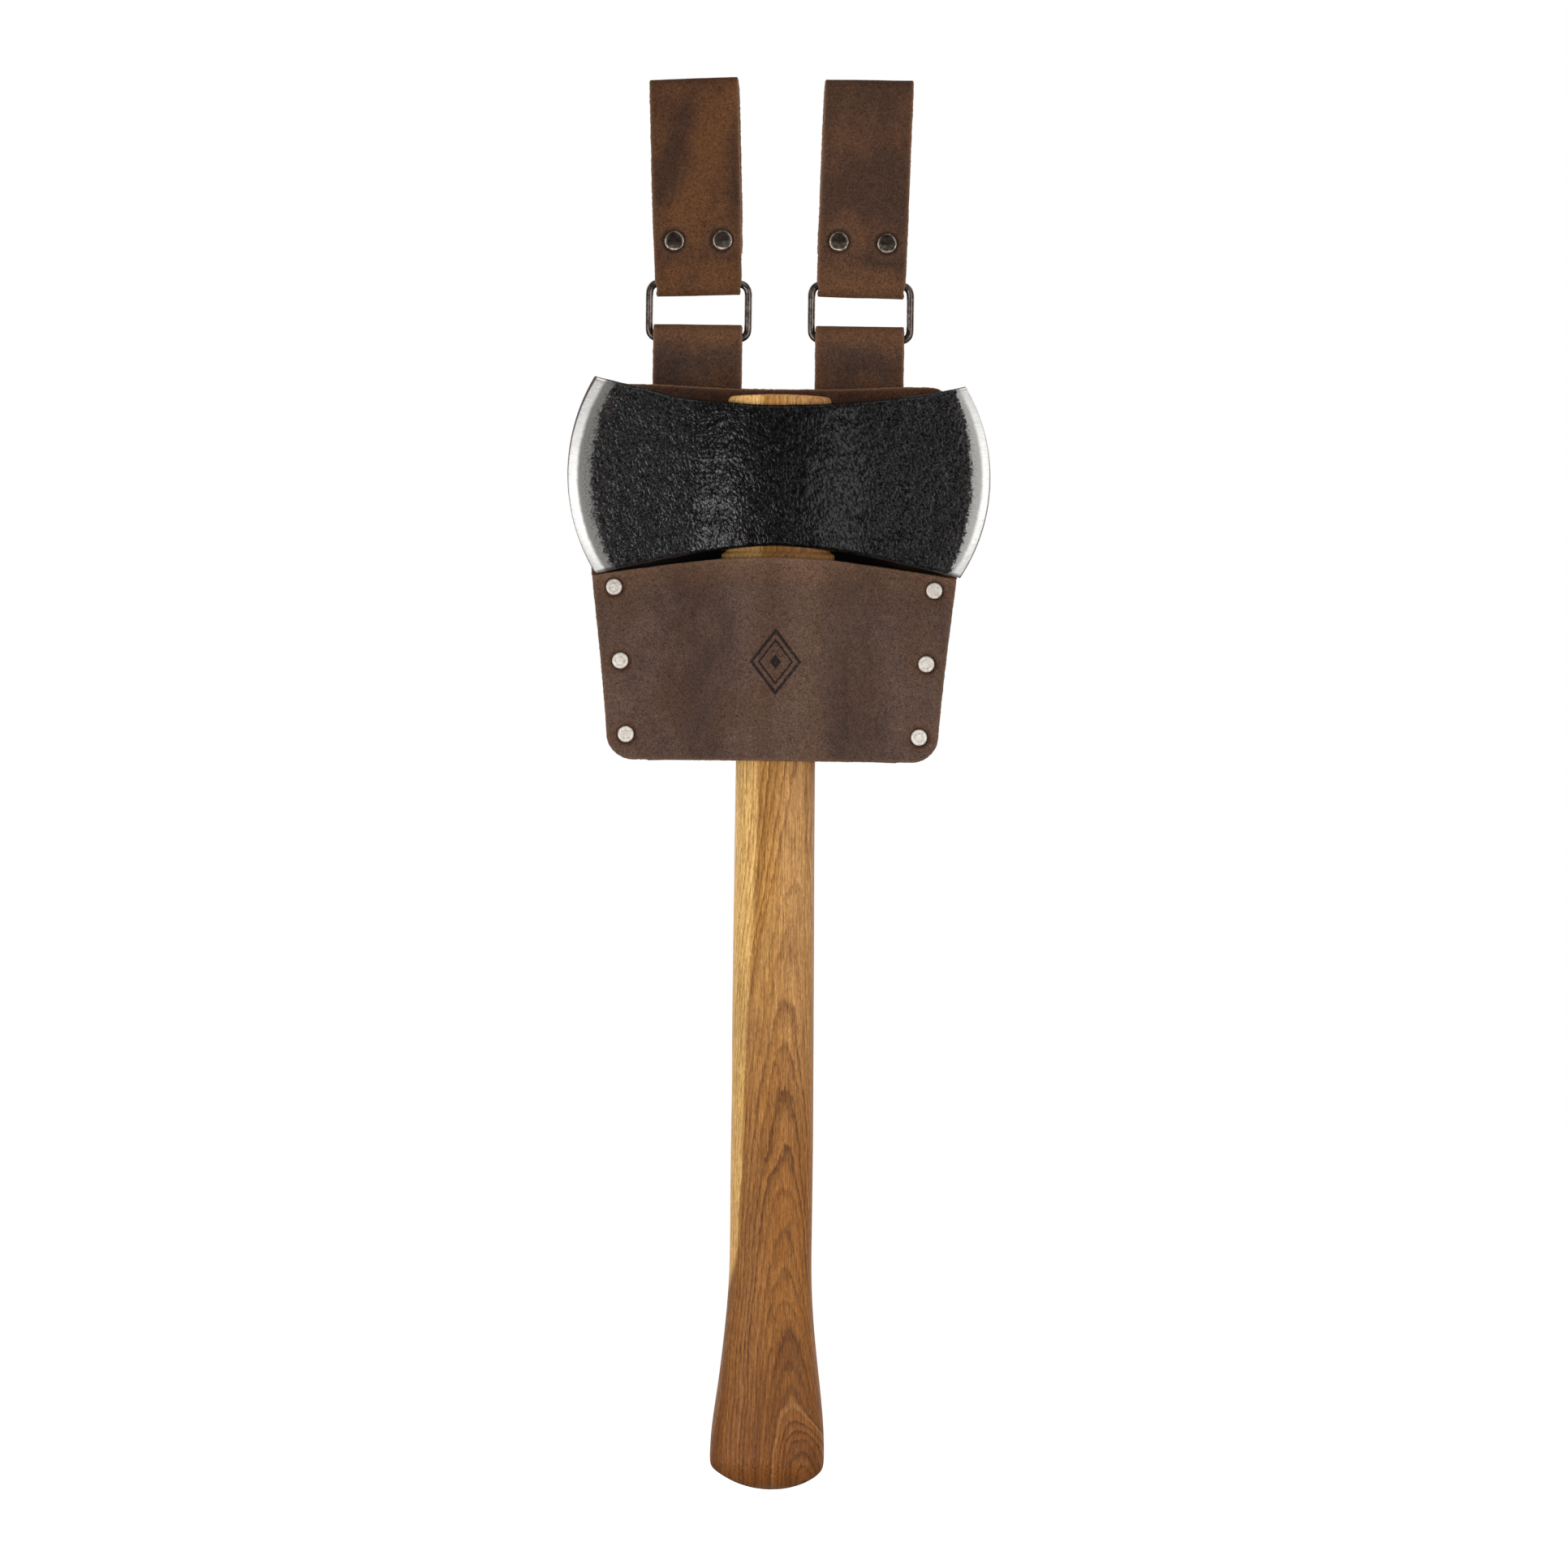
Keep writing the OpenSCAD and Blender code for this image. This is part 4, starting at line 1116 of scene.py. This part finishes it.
def resampled(path, soft):
    """Distances along a path in Y and Z and its points there, with its corners rounded."""
    fine = 0.25
    path = np.array(path, float)
    s = np.r_[0, np.cumsum(np.linalg.norm(np.diff(path, axis=0), axis=1))]
    t = np.linspace(0, s[-1], int(round(s[-1] / fine)))
    line = np.stack([np.interp(t, s, path[:, 0]), np.interp(t, s, path[:, 1])], -1)
    k = int(round(soft * 3 / fine))
    weights = np.exp(-0.5 * (np.arange(-k, k + 1) * fine / soft) ** 2)
    weights /= weights.sum()
    before = line[0] + (line[0] - line[1]) * np.arange(k, 0, -1)[:, None]
    after = line[-1] + (line[-1] - line[-2]) * np.arange(1, k + 1)[:, None]
    padded = np.concatenate([before, line, after])
    line = np.stack([np.convolve(padded[:, j], weights, "valid") for j in (0, 1)], -1)
    s = np.r_[0, np.cumsum(np.linalg.norm(np.diff(line, axis=0), axis=1))]
    at = spaced(s[-1], 0.9)
    return at, np.stack([np.interp(at, s, line[:, 0]), np.interp(at, s, line[:, 1])], -1)


def arc(centre, radius, start, end, count=24):
    angles = np.radians(np.linspace(start, end, count))
    return [(centre[0] + radius * math.cos(a), centre[1] + radius * math.sin(a))
            for a in angles]


def strap(distance, line, rivet_z, seed, wave, bends, sink, shift=None):
    """A strap's middle surface, and the sheet settings that go with it.

    bends lists (height, spread, amount) where the hide is pulled."""
    flat_x = spaced(STRAP_WIDTH, 0.95) - STRAP_WIDTH / 2
    surface = xyz(flat_x, line[:, :1], line[:, 1:])
    tangent = np.gradient(line, axis=0)
    tangent /= np.linalg.norm(tangent, axis=1, keepdims=True)
    s = np.broadcast_to(distance[:, None], surface.shape[:2])
    x, y, z = np.moveaxis(surface, -1, 0)  # views, changed in place
    # sides not quite parallel, like a hand-cut strap
    x *= 1 + 0.006 * fbm(xyz(s, 0, seed), 0.05, 3, seed)
    if shift is not None:
        x += shift(s)
    waves = wave * fbm(xyz(x * 0.6, s, seed * 3.1), 0.035, 2, seed + 2)
    y -= tangent[:, 1:] * waves
    z += tangent[:, :1] * waves
    inset = np.minimum(np.minimum(flat_x + STRAP_WIDTH / 2, STRAP_WIDTH / 2 - flat_x)[None, :],
                       np.minimum(s, distance[-1] - s))
    rivet = rivet_distance(x, z, [(-RIVET_DX, rivet_z), (RIVET_DX, rivet_z)])
    outer = (-sink * bell(rivet, 5.4) + 0.12 * bell(rivet - 7.4, 1.6)
             + fbm(xyz(x, s, seed), 0.06, 2, seed + 4) * 0.10)
    pull_and_highlight = np.max([amount * bell(z - height, spread) for height, spread, amount in bends], 0)
    # painted shade: a dark ring round each rivet
    return surface, dict(inset=inset, outer=outer, pull_and_highlight=pull_and_highlight,
                         dark=0.85 * bell(rivet - 4.8, 0.75),
                         warm=0.6 * bell(rivet - 5.4, 2.0))


def patches(surface, table):
    """The sum of soft oval patches of tan."""
    total = 0
    for amount, share, height, spread_x, spread_z, turn in table:
        a = math.radians(turn)
        dx, dz = surface[..., 0] - share * 19.0, surface[..., 2] - height
        p = dx * math.cos(a) + dz * math.sin(a)
        q = -dx * math.sin(a) + dz * math.cos(a)
        total = total + amount * np.exp(-(p / spread_x) ** 2 - (q / spread_z) ** 2)
    return total


# How the two loops differ: clearance round the ring's wire, noise seeds, sideways lag past
# the ring, narrowing low down, tilt of the top, sway (degrees) and offset in X.
# Patches: amount, share of the half width, height, two spreads, turn in degrees.
LOOPS = {
    -1: dict(slack=1.05, seed=41, sheet_seed=61, lag=0.55, narrowing=0.026, tilt=0.021,
             sway=0.35, offset=0.3, patches=(
                 (1.7, 0.42, 146, 7.5, 30, -22), (0.8, -0.5, 113, 12, 7, 0),
                 (0.6, 0.1, 88, 20, 5, 0), (-1.4, -0.42, 141, 8.0, 24, -12),
                 (-0.6, 0.85, 124, 5, 16, 0), (-0.8, 0.55, 95, 9, 4, 0),
                 (-0.5, -0.8, 99, 7, 6, 0))),
    1: dict(slack=1.25, seed=57, sheet_seed=83, lag=-0.3, narrowing=0.0, tilt=0.028,
            sway=0.0, offset=0.0, patches=(
                (-1.3, 0.0, 164, 24, 12, 0), (1.1, -0.35, 146, 14, 7, -10),
                (-1.1, 0.1, 124, 17, 13, 0), (0.7, -0.2, 107, 16, 4, 0),
                (-1.2, 0.35, 94, 13, 3.5, 0), (1.7, 0.0, 86, 22, 5, 0)))}


def lean(points, side):
    """Turns a belt loop about its ring's top bar and moves it to its side."""
    points = np.array(points, float)
    a = side * LOOP_LEAN
    x, z = points[..., 0].copy(), points[..., 2] - TOP_BAR
    points[..., 0] = side * RING_X + x * math.cos(a) + z * math.sin(a)
    points[..., 2] = TOP_BAR - x * math.sin(a) + z * math.cos(a)
    return points


def belt_loop(side):
    """Down from the tail, round the ring's top bar, up the front, over and down the rear."""
    loop = LOOPS[side]
    far_y = FRONT_Y + 2 * FOLD_RADIUS
    path = [(TAIL_Y, LOOP_RIVET_Z + 8.4), (TAIL_Y, TOP_BAR + 11.5)]
    path += arc((RING_Y, TOP_BAR), WIRE + loop["slack"] + STRAP / 2, 0, -180)
    path += [(FRONT_Y, TOP_BAR + 9), (FRONT_Y - 0.15, LOOP_RIVET_Z), (FRONT_Y - 0.7, 134.0),
             (FRONT_Y - 0.2, FOLD_Z - 7)]
    path += arc((FRONT_Y + FOLD_RADIUS, FOLD_Z + 0.5), FOLD_RADIUS, 180, 0)
    path += [(far_y + 0.4, LOOP_RIVET_Z + 40), (far_y - 0.6, LOOP_RIVET_Z + 23),
             (REAR_Y, LOOP_RIVET_Z + 8), (REAR_Y, LOOP_RIVET_Z - 5.6)]
    distance, line = resampled(path, soft=0.95)
    over = distance[int(np.argmax(line[:, 1]))]
    surface, settings = strap(
        distance, line, LOOP_RIVET_Z, loop["seed"], wave=0.34, sink=0.5,
        bends=[(TOP_BAR - 2.5, 4.6, 0.75), (LOOP_TOP + 1.4, 2.6, 0.6)],
        shift=lambda s: loop["lag"] * ease((s - over) / 10))
    tan = patches(surface, loop["patches"])
    x, _, z = np.moveaxis(surface, -1, 0)  # views, changed in place
    # the bottom fold's corners are nipped by the ring's bends
    nip = bell(z - (TOP_BAR - 2.5), 2.2) * ease((np.abs(x) - 17.0) / 2.0)
    x *= 1 - loop["narrowing"] * ease((118 - z) / 30)
    z += loop["tilt"] * x * ease((z - 128) / 36)
    x -= np.sign(x) * nip * 0.8
    points, faces, attributes = sheet(surface, STRAP, seed=loop["sheet_seed"], tan=tan,
                                      **settings)
    sway = math.tan(math.radians(loop["sway"]))
    points[:, 0] -= sway * (points[:, 2] - TOP_BAR) + loop["offset"]
    return lean(points, side), faces, attributes


def hanger(side):
    """Up the front, over the ring's lower bar and down the back."""
    seed, sheet_seed, offset = {-1: (71, 73, 0.3), 1: (91, 95, 0.35)}[side]
    front, back = RING_Y - LAYER / 2, RING_Y + LAYER / 2
    path = [(front, 8.0), (front, LOW_BAR - 14), (RING_Y - EYE_RADIUS + 0.3, LOW_BAR - 3)]
    path += arc((RING_Y, LOW_BAR + 0.2), EYE_RADIUS + 0.45, 180, 0)
    path += [(RING_Y + EYE_RADIUS - 0.3, LOW_BAR - 3), (back, LOW_BAR - 14), (back, 10.0)]
    surface, settings = strap(*resampled(path, soft=0.8), HANGER_RIVET_Z, seed, wave=0.0,
                              bends=[(LOW_BAR + 4.6, 4.0, 0.8)], sink=0.45)
    tan = patches(surface, ((0.8, 0.0, LOW_BAR, 30, 4, 0), (-0.9, 0.2 * side, 50, 15, 6, 0)))
    points, faces, attributes = sheet(surface, STRAP, seed=sheet_seed, tan=tan, **settings)
    points[:, 0] += side * RING_X - offset
    return points, faces, attributes


for side, word in SIDES:
    points, faces, attributes = belt_loop(side)
    build(word + "_belt_loop_strap", points, faces, LOOP_LEATHER[side], word + "_belt_loop",
          "strap_leather", word + "_belt_loop", attributes)
    points, faces, attributes = hanger(side)
    build(word + "_hanger_strap", points, faces, HANGER_LEATHER, "holster",
          "strap_leather", word + "_hanger_tab", attributes)


# ------------------------------------------------------------------ rings
def ring_mesh(side, seed):
    """A rectangle of round wire with bent corners."""
    bend = 3.9
    corners = []
    for sign_x, sign_z, start in ((1, 1, 0), (-1, 1, 90), (-1, -1, 180), (1, -1, 270)):
        centre = (sign_x * (RING_HALF_X - bend), sign_z * (RING_HALF_Z - bend))
        corners += arc(centre, bend, start, start + 90, 15)
    path = np.array(corners + [corners[0]])
    s = np.r_[0, np.cumsum(np.linalg.norm(np.diff(path, axis=0), axis=1))]
    t = np.linspace(0, s[-1], 221)[:-1]
    line = np.stack([np.interp(t, s, path[:, 0]), np.interp(t, s, path[:, 1])], -1)
    for _ in range(6):                     # bent wire has no hard corner starts
        line = 0.5 * line + 0.25 * (np.roll(line, 1, 0) + np.roll(line, -1, 0))
    tangent = np.roll(line, -1, 0) - np.roll(line, 1, 0)
    tangent /= np.linalg.norm(tangent, axis=1, keepdims=True)
    count = 28
    angle = 2 * np.pi * np.arange(count) / count
    radius = WIRE * (1 + 0.012 * np.sin(t / 7.0 + seed))[:, None]
    points = xyz(line[:, :1] + tangent[:, 1:] * radius * np.cos(angle),
                 radius * np.sin(angle),
                 line[:, 1:] - tangent[:, :1] * radius * np.cos(angle))
    points += 0.02 * fbm(points, 0.8, 2, seed)[..., None]
    grid = np.arange(len(line) * count).reshape(-1, count)
    faces = band(grid, np.roll(grid, -1, 0))
    return points.reshape(-1, 3) + [side * RING_X, RING_Y, RING_Z], faces


for (side, word), seed in zip(SIDES, (3, 8)):
    points, faces = ring_mesh(side, seed)
    build(word + "_ring_wire", points, faces, RING_WIRE, word + "_ring", "antique_nickel",
          word + "_ring", {"dark": np.zeros(len(points))})


# ------------------------------------------------------------------ rivets
# Profiles are rows of radius, height and darkness, the first and last on the axis.
def lathe(profile, count=56):
    """A closed shape turned about Z from a profile."""
    profile = np.array(profile, float)
    angle = 2 * np.pi * np.arange(count) / count
    body = profile[1:-1]
    points = xyz(body[:, :1] * np.cos(angle), body[:, :1] * np.sin(angle), body[:, 1:2])
    points = points.reshape(-1, 3)
    grid = np.arange(len(points)).reshape(-1, count)
    low, high = grid[:-1], grid[1:]
    faces = np.stack([low, high, np.roll(high, -1, 1), np.roll(low, -1, 1)],
                     -1).reshape(-1, 4).tolist()
    faces += fan(len(points), grid[0]) + fan(len(points) + 1, grid[-1], flip=True)
    points = np.concatenate([points, [[0, 0, profile[0, 1]], [0, 0, profile[-1, 1]]]])
    return points, faces, np.r_[np.repeat(body[:, 2], count), profile[0, 2], profile[-1, 2]]


def domed(height, r=3.5):
    """A peened head: nearly flat, with a faint pressed ring and a rolled rim."""
    rows = [(0, height * 0.94, 0)]
    for k in np.linspace(0.06, 0.82, 16):
        rows.append((r * k, height * (0.95 - 0.16 * k ** 2.2) - 0.09 * bell(k - 0.52, 0.07),
                     0.30 * bell(k - 0.52, 0.09)))
    steepest = math.radians(56)
    for a in np.radians(np.linspace(56, 0, 8)):
        rows.append((r * (0.84 + 0.16 * math.cos(a)),
                     height * (0.14 + 0.66 * math.sin(a) / math.sin(steepest)), 0.12))
    return rows + [(r * 0.985, 0.02, 0.9), (r * 0.9, 0.0, 1.0), (0, 0, 1.0)]


def dished(height, r=4.35):
    """A cap with a flat dull middle inside a bright rolled rim."""
    rows = [(0, height * 0.66, 0.8)]
    rows += [(r * k, height * (0.66 + 0.02 * k), 0.8) for k in np.linspace(0.08, 0.71, 10)]
    rows += [(r * 0.74, height * 0.70, 0.9), (r * 0.77, height * 0.80, 0.4)]
    rows += [(r * (0.89 + 0.11 * math.cos(a)), height * (0.42 + 0.58 * math.sin(a)), 0.0)
             for a in np.radians(np.linspace(120, 0, 14))]
    return rows + [(r * 0.995, 0.12, 0.5), (r * 0.97, 0.0, 1.0), (0, 0, 1.0)]


def post(length, r=1.5):
    return [(0, 0.0, 0.5), (r * 0.9, 0.0, 0.5), (r, -0.15, 0.5), (r, -length, 0.5),
            (r * 0.9, -length - 0.1, 0.5), (0, -length - 0.1, 0.5)]


def rivet_shells(places, profile, y, facing, seed, dent, painted_top_shade=0.0, post_length=None):
    """Rivet heads at (x, z) places, their tops facing -Y (facing -1) or +Y (facing 1)."""
    all_points, all_faces, all_dark = [], [], []
    start = 0

    def add(points, faces, dark, x, z):
        nonlocal start
        all_points.append(xyz(x + points[:, 0], y + facing * points[:, 2],
                              z - facing * points[:, 1]))
        all_faces.extend([index + start for index in face] for face in faces)
        all_dark.append(dark)
        start += len(points)

    for k, (x, z) in enumerate(places, seed):
        points, faces, dark = lathe(profile)
        # painted shade on the upper half of the head, so it looks brightest along the lower
        # rim
        dark = np.clip(dark + painted_top_shade * ease((points[:, 1] + 1.3) / 3.0), 0, 1)
        points[:, 2] += dent * fbm(points + k * 5.0, 0.45, 2, k) * (points[:, 2] > 0.3)
        add(points, faces, dark, x, z)
        if post_length:
            add(*lathe(post(post_length), 24), x, z)
    return np.concatenate(all_points), all_faces, np.concatenate(all_dark)


def rivets(stem, places, front, back, material, body, slot, leaning=None):
    """Front heads, and back heads with their posts. leaning is a belt loop's side."""
    for face, node, facing, settings in (("fronts", "caps", -1, front),
                                         ("backs", "posts", 1, back)):
        points, faces, dark = rivet_shells(places, facing=facing, **settings)
        if leaning:
            points = lean(points, leaning)
        build(f"{stem}_rivet_{face}", points, faces, material, body, slot,
              f"{stem}_rivet_{node}", {"dark": dark})


rivets("pocket", [(x + POCKET_X, z) for x, z in POCKET_RIVETS],
       dict(profile=domed(1.35), y=BACK_Y - PANEL_GAP - LEATHER + 0.5, seed=1, dent=0.08),
       dict(profile=domed(1.3), y=BACK_Y + LEATHER - 0.35, seed=9, dent=0.05,
            post_length=5.0),
       WORN_NICKEL, "holster", "worn_nickel")
rivets("hanger", HANGER_RIVETS,
       dict(profile=dished(1.3), y=BACK_Y + 0.3, seed=21, dent=0.03),
       dict(profile=dished(1.3), y=RING_Y + 0.05 + STRAP - 0.3, seed=27, dent=0.03,
            post_length=7.6),
       ANTIQUE_NICKEL, "holster", "antique_nickel")
for side, word in SIDES:
    rivets(word + "_loop", [(-RIVET_DX, LOOP_RIVET_Z), (RIVET_DX, LOOP_RIVET_Z)],
           dict(profile=dished(1.35), y=FRONT_Y - STRAP / 2 + 0.2, seed=33 + side, dent=0.03,
                painted_top_shade=0.62),
           dict(profile=dished(1.3), y=REAR_Y + STRAP / 2 - 0.3, seed=41 + side, dent=0.03,
                post_length=7.6),
           ANTIQUE_NICKEL, word + "_belt_loop", "antique_nickel", leaning=side)


# ------------------------------------------------------------------ floor, light, camera
scene = bpy.context.scene
scene.view_settings.view_transform = "Standard"
scene.view_settings.look = "None"


def floor_material():
    """Grey near the axe; the camera sees it glow, to white far away."""
    n = Material("floor")
    away = (n.p * (1, 1, 0)).vector_math("LENGTH").fade(600.0, 1900.0)
    geometry = n.tree.nodes.new("ShaderNodeNewGeometry")
    incoming = Value(n, geometry.outputs["Incoming"])
    facing = abs(incoming.vector_math("DOT_PRODUCT", Value(n, geometry.outputs["Normal"])))
    near = facing.fade(0.06, 0.22).slope(0.0, 1.0, to=(0.84, 0.46))
    glow = near * (1.0 - away) + 1.02 * away
    grey = n.p.noise(0.002).mix((0.50, 0.50, 0.50), (0.56, 0.56, 0.56))
    return n.surface(Base_Color=away.mix(grey, (0.0, 0.0, 0.0)), Roughness=0.9,
                     Specular_IOR_Level=0.05, Emission_Color=(1, 1, 1),
                     Emission_Strength=glow * n.node("LightPath", {}, "Is Camera Ray"))


FLOOR_HALF = 14.0
floor_z = cad_low.z - 0.004
floor_mesh = bpy.data.meshes.new("floor")
floor_mesh.from_pydata([(x * FLOOR_HALF, y * FLOOR_HALF, floor_z)
                        for x, y in ((-1, -1), (1, -1), (1, 1), (-1, 1))], [], [(0, 1, 2, 3)])
floor = bpy.data.objects.new("floor", floor_mesh)
floor_mesh.materials.append(floor_material())
scene.collection.objects.link(floor)
floor.visible_shadow = False               # the low softboxes reach below the floor line
floor.visible_glossy = False

# the world lights dimly but looks white to the camera
scene.world = bpy.data.worlds.new("studio")
scene.world.use_nodes = True
sky = Shader(scene.world.node_tree)
lighting, seen = [sky.node("Background", {0: (1, 1, 1), 1: strength})
                  for strength in (0.20, 1.0)]
camera_ray = sky.node("LightPath", {}, "Is Camera Ray")
sky.output("ShaderNodeOutputWorld", sky.node("MixShader", {0: camera_ray, 1: lighting,
                                                           2: seen}))

# Name, azimuth from -Y towards +X and elevation (degrees), distance, width, height (m),
# power (W).
SOFTBOXES = (
    ("key_left", -37, -14, 2.1, 0.5, 1.1, 18),
    ("key_right", 40, -6, 2.1, 1.2, 1.5, 18),
    ("top", 8, 62, 1.9, 1.6, 1.2, 9),
    ("back_left", -135, 16, 2.1, 0.9, 1.6, 19),
    ("back_right", 135, 16, 2.1, 0.9, 1.6, 19),
)
aim = Vector((0, 0, (cad_low.z + cad_high.z) / 2 + 0.05))
for name, azimuth, elevation, distance, width, height, power in SOFTBOXES:
    a, e = math.radians(azimuth), math.radians(elevation)
    direction = Vector((math.sin(a) * math.cos(e), -math.cos(a) * math.cos(e), math.sin(e)))
    light = bpy.data.lights.new(name, "AREA")
    light.shape, light.size, light.size_y, light.energy = "RECTANGLE", width, height, power
    softbox = bpy.data.objects.new(name, light)
    softbox.location = aim + direction * distance
    softbox.rotation_mode = "QUATERNION"
    softbox.rotation_quaternion = (-direction).to_track_quat("-Z", "Y")
    scene.collection.objects.link(softbox)
    softbox.visible_camera = False

VIEW_SPAN = 0.6762                         # metres across the view at the head
lens = bpy.data.cameras.new("camera")
lens.lens = 800
lens.sensor_width = 36
lens.clip_end = 100
camera = bpy.data.objects.new("camera", lens)
scene.collection.objects.link(camera)
camera_y = ORIGIN_Y / 1000 - VIEW_SPAN * lens.lens / lens.sensor_width
camera.matrix_world = (Matrix.Translation((0.0043, camera_y, (ORIGIN_Z - 132.6) / 1000))
                       @ Matrix.Rotation(math.pi / 2, 4, "X")
                       @ Matrix.Rotation(math.radians(0.7), 4, "Z"))
scene.camera = camera
